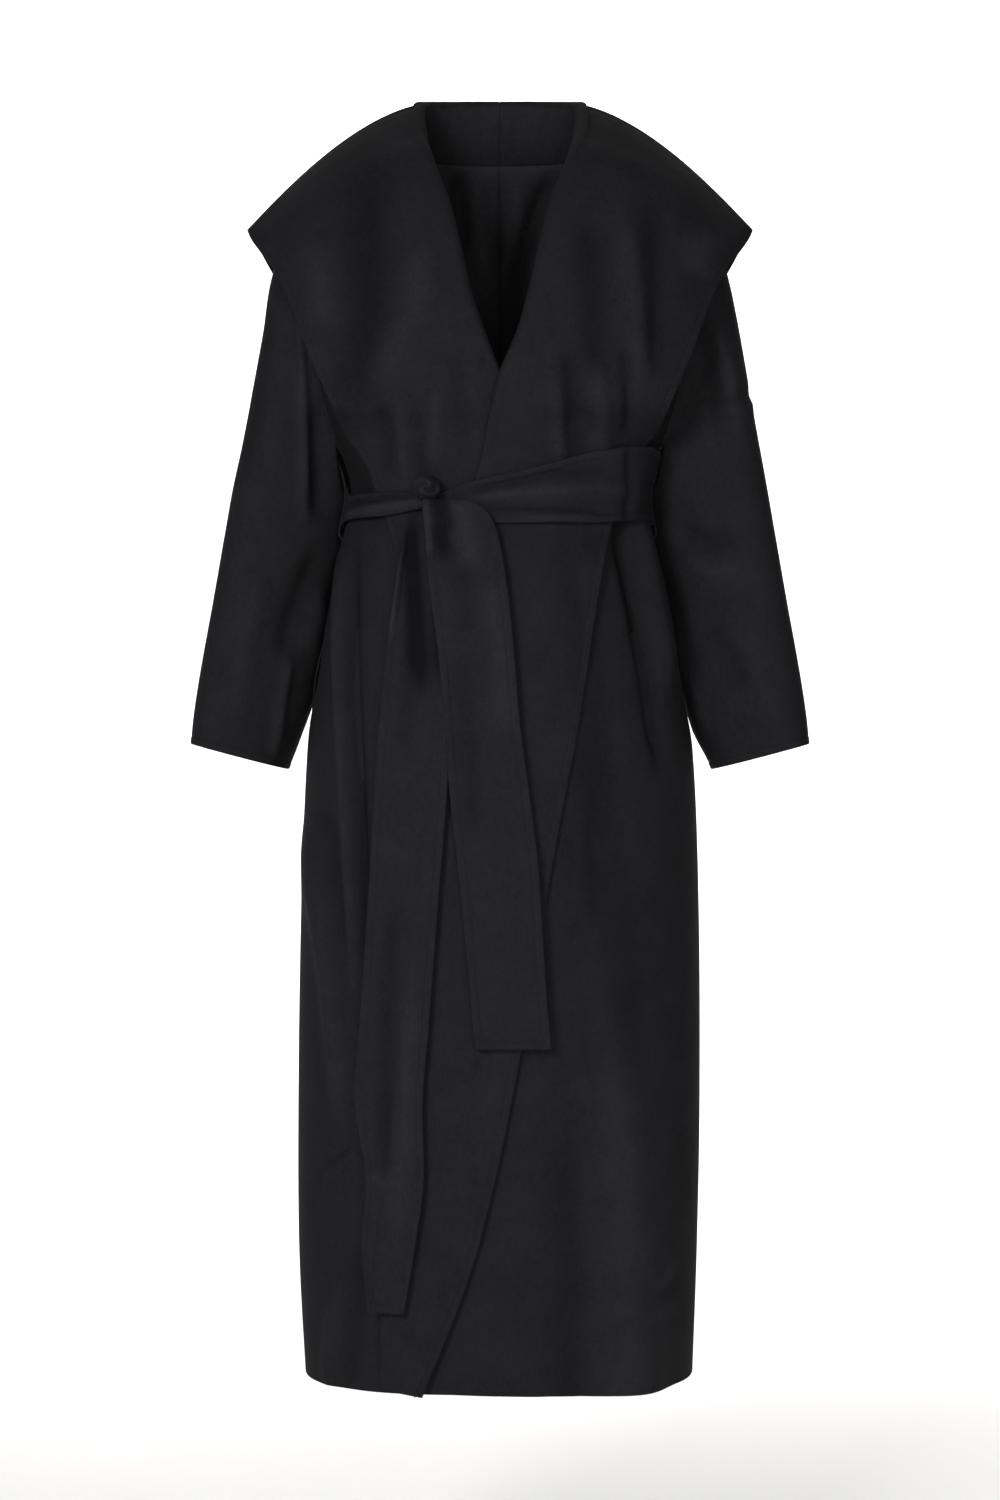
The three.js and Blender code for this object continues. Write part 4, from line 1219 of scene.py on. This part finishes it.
def shape_hood(side, word):
    """Half a hood with its folds, as a wall of cloth."""
    grid = np.array([hood_section(side, row) for row in np.linspace(0, len(HOOD) - 1, HOOD_ROWS)])
    sides = to_border(grid, 0)
    leaf_from = HOOD_STAND_COLUMNS + FOLD_COLUMNS
    outer = (np.arange(grid.shape[1]) > leaf_from + 3)[None] * smooth(sides / HOOD_SEAM_FADE)
    lift = crease_lift(grid[..., [0, 2]], HOOD_FOLDS[word]) * outer
    outward = directions(grid)
    outward *= np.sign(outward[HOOD_ROWS // 2, leaf_from + HOOD_LEAF_COLUMNS // 2 + 1, 1])
    grid = grid + outward * lift[..., None]
    sewn = np.minimum(sides, to_border(grid, 1))
    stand = np.arange(grid.shape[1])[None] / HOOD_STAND_COLUMNS
    # The leaf is painted darker near the shoulder's ridge, as painted shade; folds carry painted
    # light and shade, and the stand its painted tones.
    ridge_painted_shade = np.exp(-((spans(grid, 0) / RIDGE_SHADE_MM) ** 2)) * (stand > 1)
    shading_paint = painted_fold_shading(lift) - ridge_painted_shade + np.where(stand <= 1, mix(*STAND_PAINTED_SHADING, stand), 0)
    return cloth_wall(f"coat_hood_{word}", grid, nowhere(grid), sewn, coat_wool, rub=shading_paint)


hoods = both(shape_hood)
print("hoods:", faces(hoods), "faces")

# %% [markdown]
# ## The belt
#
# The belt is a long strip of the same double-faced wool, with its edges closed like the coat's.
# It goes round the waist, is tied once, and hangs in two ends. A tied belt is never flat: the
# cloth bunches on its way into the knot, so the bands carry long folds that fan out from it.
# Each band is drawn by its angle round the body, from the knot to the centre back, and rests on
# whatever layers lie below it.

# %% Belt sizes
BELT_LEFT = table(
    "angle top bottom",
    (-19, -352, -376),
    (0, -335, -382),
    (16, -322, -381),
    (32, -310, -380),
    (60, -303, -375),
    (90, -308, -374),
    (135, -307, -378),
    (180, -305, -380),
)
BELT_RIGHT = table(
    "angle top bottom",
    (22, -350, -366),
    (38, -349, -372),
    (48, -349, -373),
    (60, -349, -373),
    (74, -348, -374),
    (90, -338, -376),
    (112, -318, -379),
    (135, -307, -379),
    (180, -305, -380),
)
TAIL_OVER = table(
    "z left right",
    (-358.5, -74, -38),
    (-367, -74, -18),
    (-377, -73, -8),
    (-398, -71, -1),
    (-435, -69, 6),
    (-500, -60, 13),
    (-572, -53, 19),
    (-640, -48, 28),
    (-704, -41, 36),
    (-762, -35, 40),
    (-840, -28, 45),
    (-884, -24, 49),
)
TAIL_UNDER = table(
    "z left right",
    (-372, -88, -52),
    (-415, -96, -50),
    (-470, -104, -48),
    (-558, -114, -47),
    (-640, -120, -50),
    (-742, -126, -58),
    (-860, -134, -67),
    (-935, -139, -73),
    (-1010, -128, -72),
    (-1070, -132, -80),
    (-1136, -126, -91),
)
BELT_SLACK = 2
# Columns of the belt are crowded towards both edges, each with a line of stitches.
STRIP_STEPS = [0, 0.45, 1.1, 2.2, 4, 6.4, 7.4, 7.8, 8.3, 9.4, 12]
STRIP_EVEN = 16
STRIP_LINES = (STRIP_STEPS.index(LIP_WIDTH), -1 - STRIP_STEPS.index(LIP_WIDTH))
BAND_WIDTH = 70
BAND_REST = 1
BAND_PAINTED_SHADING = 2
# The angles, from the centre front, at which the front's layers and the bands' folds end.
FRONT_ANGLE = SimpleNamespace(layers=75, layers_fade=15, folds=86, folds_fade=20)
TAIL_WIDTH = 74
TAIL_ROWS = 170
TAIL_LIP = 17
TAIL_PRESS = 3
TAIL_PAINTED_SHADING = 1.8
TAIL_UNDER_OUT = 22.5
TAIL_REST = 5.5
TAIL_OVER_OUT = 26.1
KNOT = SimpleNamespace(x=-71, z=-347, wide=14, high=11.5, deep=13.5, off=3.4)
print("belt at the side:", BELT_LEFT[5]["top"] - BELT_LEFT[5]["bottom"], "mm wide")

# %% Belt bands
BAND_FOLDS = {
    "left": [
        crease(2.6, 6, (-50, -362), (10, -353), (84, -346), (150, -346)),
        crease(-2, 4, (-50, -368), (16, -366), (70, -368), (120, -370)),
        crease(-2.2, 4, (-48, -357), (0, -344), (60, -332), (120, -328)),
        crease(1.8, 5, (10, -376), (60, -375), (100, -373)),
        crease(1.4, 5, (40, -322), (90, -314), (130, -312)),
        crease(-2, 5, (124, -296), (126, -340), (122, -392)),
    ],
    "right": [
        crease(2.6, 5, (-60, -359), (-106, -363), (-134, -366), (-170, -369)),
        crease(-2.4, 4.5, (-70, -351), (-110, -353), (-138, -357), (-170, -358)),
    ],
}


def strip_share(width):
    """Columns across a strip, crowded towards both of its edges."""
    near = np.array(STRIP_STEPS)
    middle = np.linspace(near[-1], width - near[-1], STRIP_EVEN)[1:-1]
    return np.concatenate([near, middle, width - near[::-1]]) / width


def belt_band(side, rows, count, word):
    """A stretch of the belt, from the knot to the centre back."""
    band = tracks(rows, "angle")
    angle = np.linspace(rows[0]["angle"], 180, count)[:, None]
    share = strip_share(BAND_WIDTH)[None]
    z = mix(band.top(angle), band.bottom(angle), share)
    facing = np.where(angle <= 90, -1, 1)
    turn = np.radians(np.abs(90 - np.abs(angle)))
    now = np.where(angle < 0, -side, side)
    pieces = []
    for face in (-1, 1):
        for way in (-1, 1):
            bare = on_body(way, face, turn, z, 0)
            base = layer(z) + BAND_REST
            out = stack(bare[..., 0], z) + BELT_SLACK if face < 0 else base
            out = mix(base, out, smooth((FRONT_ANGLE.layers - angle) / FRONT_ANGLE.layers_fade))
            here = ((facing == face) & (now == way))[..., None]
            pieces.append(np.where(here, on_body(way, face, turn, z, out), 0))
    grid = sum(pieces)
    grid[..., 0] += np.where(angle > 90, side * SEAM * (angle - 90) / 180, 0)
    in_front = smooth((FRONT_ANGLE.folds - angle) / FRONT_ANGLE.folds_fade)
    lift = crease_lift(grid[..., [0, 2]], BAND_FOLDS[word]) * in_front
    outward = directions(grid)
    outward *= np.sign(np.sum(outward[..., :2] * grid[..., :2], -1).mean())
    grid = grid + outward * lift[..., None]
    across, along = to_border(grid, 1), to_border(grid, 0)
    # Painted light on the band's fold tops, painted shade in its troughs.
    shading_paint = painted_fold_shading(BAND_PAINTED_SHADING * lift)
    return cloth_wall(f"belt_band_{word}", grid, across, along, belt_wool, rub=shading_paint)


bands = {
    "left": belt_band(1, BELT_LEFT, 190, "left"),
    "right": belt_band(-1, BELT_RIGHT, 150, "right"),
}
print("bands:", faces(bands), "faces")

# %% Belt ends
TAIL_FOLDS = {
    "over": [
        crease(-5, 8, (-66, -340), (-57, -364), (-53, -380), (-56, -396), (-48, -424)),
        crease(4, 6, (-71, -352), (-69, -376), (-67, -420)),
        crease(5, 12, (-36, -352), (-30, -385), (-26, -430)),
        crease(-1.6, 10, (-44, -390), (-37, -430), (-30, -500)),
        crease(2.5, 12, (-10, -420), (0, -500), (8, -600)),
        crease(-2, 12, (-40, -480), (-30, -600), (-22, -700)),
    ],
    "under": [
        crease(-6, 15, (-50, -330), (-50, -372), (-51, -440), (-52, -560)),
        crease(-7.5, 9, (-80, -350), (-86, -398), (-82, -450), (-74, -560)),
        crease(4, 4, (-97, -378), (-100, -430), (-106, -500)),
        crease(-1.5, 9, (-84, -470), (-88, -540), (-90, -620)),
        crease(-2.5, 9, (-100, -700), (-108, -860), (-112, -1040)),
        crease(2.5, 9, (-82, -800), (-90, -950), (-100, -1090)),
        crease(2, 7, (-130, -1000), (-110, -1012), (-84, -1004)),
    ],
}


def belt_tail(rows, out, word):
    """A hanging end of the belt, pressed against what lies below it."""
    strip = tracks(rows, "z")
    low = rows[-1]["z"]
    high = rows[0]["z"]
    even = np.linspace(high, low + TAIL_LIP, TAIL_ROWS)[:-1]
    z = np.concatenate([even, low + np.array(EDGE_STEPS[::-1])])[:, None]
    x = mix(strip.left(z), strip.right(z), strip_share(TAIL_WIDTH)[None])
    grid = np.stack([x, front_y(x, z, out) - TAIL_PRESS, np.broadcast_to(z, x.shape)], -1)
    lift = crease_lift(grid[..., [0, 2]], TAIL_FOLDS[word])
    nearest = front_y(grid[..., 0], z, stack(grid[..., 0], z) + TAIL_REST)
    grid[..., 1] = np.minimum(grid[..., 1] - lift, nearest)
    free = np.minimum(to_border(grid, 1), to_end(grid, 0))
    # Painted light on the belt end's fold tops, painted shade in its troughs.
    shading_paint = painted_fold_shading(TAIL_PAINTED_SHADING * lift)
    return cloth_wall(f"belt_end_{word}", grid, free, spans(grid, 0), belt_wool, rub=shading_paint)


ends = {
    "over": belt_tail(TAIL_OVER, TAIL_OVER_OUT, "over"),
    "under": belt_tail(TAIL_UNDER, TAIL_UNDER_OUT, "under"),
}
print("ends:", faces(ends), "faces")

# %% Knot
KNOT_RINGS = 60
KNOT_SIDES = 96
# The pleats run into the knot's sides, and the swirl is the turn of cloth on its face; its raised
# parts are painted lighter and its hollows darker, as painted light and shade.
KNOT_ROUND = 0.7
KNOT_PLEATS = SimpleNamespace(count=7, slant=1.4, deep=0.05)
KNOT_SWIRL = SimpleNamespace(deep=2.2, arms=2, twist=5.5, turn=0.6, heart=0.35, rub=0.7)


def shape_knot():
    """A soft lump gathered by the turn of the belt that goes round it."""
    slant = np.pi * (np.arange(KNOT_RINGS) + 0.5)[:, None] / KNOT_RINGS
    turn = 2 * np.pi * np.arange(KNOT_SIDES)[None] / KNOT_SIDES
    depth = front_y(KNOT.x, KNOT.z, 2 * LAYER_AT_BELT) - KNOT.deep - KNOT.off
    girth = np.sin(slant) ** KNOT_ROUND
    wave = np.cos(KNOT_PLEATS.count * turn + KNOT_PLEATS.slant * slant)
    pleat = 1 + KNOT_PLEATS.deep * wave * np.sin(slant)
    x = KNOT.x - KNOT.wide * np.cos(slant) + 0 * turn
    y = depth + KNOT.deep * girth * pleat * root(np.sin(turn))
    z = KNOT.z + KNOT.high * girth * pleat * root(np.cos(turn))
    reach = np.hypot(x - KNOT.x, (z - KNOT.z) * KNOT.wide / KNOT.high) / KNOT.wide
    around = np.arctan2(z - KNOT.z, x - KNOT.x)
    phase = KNOT_SWIRL.arms * around - KNOT_SWIRL.twist * reach + KNOT_SWIRL.turn
    swirl = np.cos(phase) * smooth(reach / KNOT_SWIRL.heart) * (y < depth)
    y = y - KNOT_SWIRL.deep * swirl
    grid = np.stack([x, y, z], -1)
    index = np.arange(KNOT_RINGS * KNOT_SIDES).reshape(KNOT_RINGS, KNOT_SIDES)
    index = np.concatenate([index, index[:, :1]], 1)
    body_quads = np.stack([index[:-1, :-1], index[:-1, 1:], index[1:, 1:], index[1:, :-1]], -1)
    half = KNOT_SIDES // 2
    caps = []
    for line in (index[0, :-1][::-1], index[-1, :-1]):
        other = line[::-1]
        caps += [[line[i], line[i + 1], other[i + 1], other[i]] for i in range(half - 1)]
    quads = np.concatenate([body_quads.reshape(-1, 4), np.array(caps)])
    uv = np.stack([spans(grid, 1), spans(grid, 0)], -1).reshape(-1, 2)
    # Painted light on the swirl's raised parts, painted shade in its hollows.
    shading_paint = (KNOT_SWIRL.rub * swirl + 0 * x).ravel().astype(np.float32)
    return mesh_object("belt_knot_tied", grid.reshape(-1, 3), quads, uv, [belt_wool], shading_paint)


knot = shape_knot()
print("knot:", len(knot.data.polygons), "faces")

# %% [markdown]
# ## Pockets and belt loops
#
# The pocket bags hang inside the side seams, out of sight but for a little at their mouths. Two
# narrow straps at the side seams keep the belt up.

# %% Pocket bags
POCKET = SimpleNamespace(
    top=-468, bottom=-640, start=2, reach=62, gape=2.4, lip=6, inside=10, narrowing=0.9, drop=12
)
POCKET_ROWS = 34
POCKET_SIDES = 64


def shape_pocket(side, word):
    """A flat bag that hangs inside the side seam."""
    middle = (POCKET.top + POCKET.bottom) / 2
    half = (POCKET.top - POCKET.bottom) / 2
    share = np.linspace(0, 1, POCKET_ROWS)[:, None]
    turn = 2 * np.pi * np.arange(POCKET_SIDES)[None] / POCKET_SIDES
    tall = half * np.sqrt(1 - POCKET.narrowing * share**3)
    inside = mix(POCKET.lip, POCKET.inside, smooth(share * 3))
    z = middle + tall * np.cos(turn) - POCKET.drop * share
    depth = inside + POCKET.gape * np.sin(turn)
    angle = np.radians(POCKET.start + POCKET.reach * share) + 0 * turn
    grid = on_body(side, -1, angle, z, -depth)
    name = f"pocket_bag_{word}"
    return cloth_wall(name, grid, nowhere(grid), spans(grid, 0), coat_wool, closed=True)


pockets = both(shape_pocket)
print("pockets:", faces(pockets), "faces")

# %% Belt loops
LOOP = SimpleNamespace(top=-300, bottom=-391, width=5, thick=1.6, rest=1.2)
LOOP_COLUMNS = [-1, -0.93, -0.8, -0.6, -0.3, 0, 0.3, 0.6, 0.8, 0.93, 1]
LOOP_ROWS = 60


def loop_out(z):
    """How far out the strap's middle lies, over the belt, at a height."""
    return float(layer(z)) + LOOP.rest + CLOTH / 2 + SEAM + LOOP.thick / 2


def shape_loop(side, word):
    """A strap sewn to the side seam above and below the belt."""
    near = CLOTH + SEAM
    path = table(
        "row z out",
        (0, LOOP.top, near),
        (1, LOOP.top - 3, near + 2),
        (2, LOOP.top - 9, loop_out(LOOP.top - 9)),
        (3, WAIST, loop_out(WAIST)),
        (4, LOOP.bottom + 11, loop_out(LOOP.bottom + 11)),
        (5, LOOP.bottom + 4, near + 2),
        (6, LOOP.bottom, near),
    )
    curve = tracks(path, "row")
    row = np.linspace(0, len(path) - 1, LOOP_ROWS)[:, None]
    z = curve.z(row)
    spine = on_body(side, -1, 0 * z, z, curve.out(row))
    share = np.array(LOOP_COLUMNS)[None, :, None]
    grid = spine + share * np.array([0, LOOP.width / 2, 0])
    return cloth_wall(f"belt_strap_{word}", grid, nowhere(grid), to_border(grid, 1), belt_wool)


loops = both(shape_loop)
print("loops:", faces(loops), "faces")

# %% [markdown]
# ## Pick stitches
#
# The two faces of this wool are closed along their edges by hand, with small stitches that catch
# only a few fibres. They follow every free edge at the same distance, so Geometry Nodes lay them:
# a line is divided evenly, and each place gets one short, thin stitch along the line, with a
# little unevenness from a fixed seed. Drawing them in the material would be lighter, but they
# would then not stand out of the groove as real thread does.

# %% Stitch tree
STITCH = {"Gap": 4.6 * MM, "Length": 2.7 * MM, "Thread": 0.24 * MM, "Seed": 7, "Material": thread}
STITCH_SIDES = 6
STITCH_FACES = STITCH_SIDES + 2


def stitch_tree():
    """Divides a line evenly and lays a short piece of thread at each place."""
    tree = bpy.data.node_groups.new("pick stitches along a line", "GeometryNodeTree")
    face = tree.interface
    face.new_socket("Line", in_out="INPUT", socket_type="NodeSocketGeometry")
    for label in ("Gap", "Length", "Thread"):
        face.new_socket(label, in_out="INPUT", socket_type="NodeSocketFloat")
    face.new_socket("Seed", in_out="INPUT", socket_type="NodeSocketInt")
    face.new_socket("Material", in_out="INPUT", socket_type="NodeSocketMaterial")
    face.new_socket("Stitches", in_out="OUTPUT", socket_type="NodeSocketGeometry")
    given = tree.nodes.new("NodeGroupInput").outputs
    curve = add_node(tree, "GeometryNodeMeshToCurve", Mesh=given["Line"]).outputs["Curve"]
    evened = add_node(tree, "GeometryNodeResampleCurve", {"mode": "LENGTH"},
                      Curve=curve, Length=given["Gap"])
    bead = add_node(tree, "GeometryNodeMeshCylinder", {"Vertices": STITCH_SIDES},
                    Radius=given["Thread"], Depth=given["Length"])
    tangent = add_node(tree, "GeometryNodeInputTangent").outputs["Tangent"]
    facing = add_node(tree, "FunctionNodeAlignRotationToVector", {"axis": "Z"}, Vector=tangent)
    least = {"data_type": "FLOAT_VECTOR", 0: (0.9, 0.9, 0.75), 1: (1.1, 1.1, 1.15)}
    uneven = add_node(tree, "FunctionNodeRandomValue", least, Seed=given["Seed"])
    laid = add_node(tree, "GeometryNodeInstanceOnPoints", Points=evened.outputs["Curve"],
                    Instance=bead.outputs["Mesh"], Rotation=facing.outputs["Rotation"],
                    Scale=uneven.outputs["Value"])
    real = add_node(tree, "GeometryNodeRealizeInstances", Geometry=laid.outputs["Instances"])
    done = add_node(tree, "GeometryNodeSetMaterial", Geometry=real.outputs["Geometry"],
                    Material=given["Material"])
    tree.links.new(done.outputs["Geometry"], tree.nodes.new("NodeGroupOutput").inputs["Stitches"])
    return tree


stitching = stitch_tree()
print("stitch tree:", len(stitching.nodes), "nodes")

# %% Rows of stitches


def stitch_row(name, lines):
    """Pick stitches along lines given in millimetres, as one plain mesh."""
    ends_at = np.cumsum([len(line) for line in lines])
    edges = [(i, i + 1) for i in range(ends_at[-1] - 1) if i + 1 not in ends_at]
    path = bpy.data.meshes.new(name)
    path.from_pydata(np.concatenate(lines) * MM, edges, [])
    row = bpy.data.objects.new(name, path)
    bpy.context.scene.collection.objects.link(row)
    modifier = row.modifiers.new("stitches", "NODES")
    modifier.node_group = stitching
    for item in stitching.interface.items_tree:
        if item.name in STITCH:
            modifier[item.identifier] = STITCH[item.name]
    graph = bpy.context.evaluated_depsgraph_get()
    finished = bpy.data.meshes.new_from_object(row.evaluated_get(graph))
    row.modifiers.clear()
    row.data = finished
    return row


LINE_COLUMN = EDGE_STEPS.index(LIP_WIDTH)
edge_lines = {}
for word in ("left", "right"):
    edge_lines[fronts[word]] = [
        face[:, -1 - LINE_COLUMN] for face in both_faces[f"coat_front_{word}"]
    ]
    edge_lines[sleeves[word]] = [
        np.concatenate([face[-1 - LINE_COLUMN], face[-1 - LINE_COLUMN, :1]])
        for face in both_faces[f"coat_sleeve_{word}"]
    ]
    edge_lines[bands[word]] = [
        face[:, k] for face in both_faces[f"belt_band_{word}"] for k in STRIP_LINES
    ]
for word in ("over", "under"):
    edge_lines[ends[word]] = [
        face[:-LINE_COLUMN, k] for face in both_faces[f"belt_end_{word}"] for k in STRIP_LINES
    ]
stitches = {
    piece: stitch_row(f"pick_stitches_{piece.name}", lines) for piece, lines in edge_lines.items()
}
print("stitches:", sum(len(row.data.polygons) for row in stitches.values()) // STITCH_FACES)

# %% [markdown]
# ## The studio
#
# Black wool shows its form only by how the light falls off across it, so the light is large and
# soft and comes from in front, from a little to the left. The surround is dim, so that the
# folds' shadows stay dark. A third light falls only on the pale sweep of paper far behind the
# coat, which joins the floor without a line.

# %% Backdrop and floor
FLOOR = -1.47
SWEEP = SimpleNamespace(front=-4.2, back=5.6, radius=0.9, high=4.5, half=8)


def sweep():
    """A roll of paper that runs along the floor and curves up behind the coat."""
    bend = np.linspace(0, np.pi / 2, 24)
    bent = SWEEP.back - SWEEP.radius + SWEEP.radius * np.sin(bend)
    y = np.concatenate([[SWEEP.front], bent, [SWEEP.back]])
    z = np.concatenate([[0], SWEEP.radius * (1 - np.cos(bend)), [SWEEP.high]]) + FLOOR
    across = (-SWEEP.half, SWEEP.half)
    points = np.array([[x, y[i], z[i]] for i in range(len(y)) for x in across]) / MM
    quads = np.array([[2 * i, 2 * i + 1, 2 * i + 3, 2 * i + 2] for i in range(len(y) - 1)])
    paper, tree, shader = new_material("matt paper")
    shader.inputs["Base Color"].default_value = hex_linear("#f4f3f2")
    shader.inputs["Roughness"].default_value = 0.9
    grain = add_node(tree, "ShaderNodeTexNoise", {"Scale": 900.0, "Detail": 2.0})
    bump = add_node(tree, "ShaderNodeBump", {"Strength": 0.1, "Distance": 0.0002},
                    Height=grain.outputs["Fac"])
    tree.links.new(bump.outputs["Normal"], shader.inputs["Normal"])
    return mesh_object("paper_sweep", points, quads, points[:, :2] * 0.1, [paper])


backdrop = sweep()
print("sweep stands", SWEEP.back, "m behind the coat")

# %% Lights


def soft_light(name, place, target, size, power):
    """A large square light that faces a point."""
    data = bpy.data.lights.new(name, "AREA")
    data.shape = "RECTANGLE"
    data.size, data.size_y = size
    data.energy = power
    light = bpy.data.objects.new(name, data)
    light.location = place
    aim = np.array(target, float) - np.array(place, float)
    light.rotation_euler = (
        math.acos(-aim[2] / np.linalg.norm(aim)),
        0,
        math.atan2(-aim[0], aim[1]),
    )
    bpy.context.scene.collection.objects.link(light)
    return light


key = soft_light("key", (-1.3, -3.2, 0.4), (0, 0, -0.5), (0.9, 0.9), 72)
fill = soft_light("fill", (0.3, -3.7, -0.5), (0, 0, -0.6), (1.2, 1.6), 52)
paper_light = soft_light("paper light", (0, 3.0, 3.2), (0, 5.6, -0.2), (6.0, 1.4), 460)
world = bpy.data.worlds.new("studio")
world.use_nodes = True
world.node_tree.nodes["Background"].inputs["Color"].default_value = hex_linear("#f7f6f8")
world.node_tree.nodes["Background"].inputs["Strength"].default_value = 0.1
bpy.context.scene.world = world
bpy.context.scene.view_settings.view_transform = "Standard"
bpy.context.scene.view_settings.look = "None"
print("lights:", [light.name for light in (key, fill, paper_light)])

# %% [markdown]
# ## What every piece stands for
#
# Each piece rides on the coat's one body and stands for the solid that it was made from. A table
# gives the sheets, with the size that each is cut to before sewing and the cloth that holds it.

# %% Pieces and their sheets
SHEETS = table(
    "piece nodes wide long area held rests",
    (fronts["left"], ["front_left"], 0.72, 1.34, 0.56, "hung", ["coat_back_left"]),
    (fronts["right"], ["front_right"], 0.72, 1.34, 0.56, "hung", ["coat_back_right"]),
    (backs["left"], ["back_left"], 0.36, 1.30, 0.31, "hung", ["coat_back_right"]),
    (backs["right"], ["back_right"], 0.36, 1.30, 0.31, "hung", ["coat_back_left"]),
    (sleeves["left"], ["sleeve_left"], 0.42, 0.60, 0.16, "hung", ["coat_front_left"]),
    (sleeves["right"], ["sleeve_right"], 0.42, 0.60, 0.16, "hung", ["coat_front_right"]),
    (hoods["left"], ["hood_left"], 0.40, 0.50, 0.10, "folded", ["coat_back_left"]),
    (hoods["right"], ["hood_right"], 0.40, 0.50, 0.10, "folded", ["coat_back_right"]),
    (bands["left"], ["belt_wrap_left"], 0.08, 0.52, 0.036, "gathered", ["coat_front_left"]),
    (bands["right"], ["belt_wrap_right"], 0.08, 0.40, 0.025, "gathered", ["coat_front_right"]),
    (ends["over"], ["belt_tail_over"], 0.08, 0.52, 0.039, "hung", ["belt_knot_tied"]),
    (ends["under"], ["belt_tail_under"], 0.08, 0.78, 0.05, "hung", ["belt_knot_tied"]),
)
for row in SHEETS:
    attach(row["piece"], BODY_NAME)
    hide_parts(*row["nodes"])
    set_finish(row["piece"], "belt_wool" if row["piece"].name.startswith("belt") else "wool")
    if row["piece"] in stitches:
        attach(stitches[row["piece"]], BODY_NAME)
        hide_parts(*row["nodes"])
        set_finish(stitches[row["piece"]], row["piece"]["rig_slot"])
for piece, node, slot in (
    (knot, "belt_knot", "belt_wool"),
    (pockets["left"], "pocket_left", "wool"),
    (pockets["right"], "pocket_right", "wool"),
    (loops["left"], "belt_loop_left", "belt_wool"),
    (loops["right"], "belt_loop_right", "belt_wool"),
):
    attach(piece, BODY_NAME)
    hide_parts(node)
    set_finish(piece, slot)
print("sheets:", len(SHEETS))
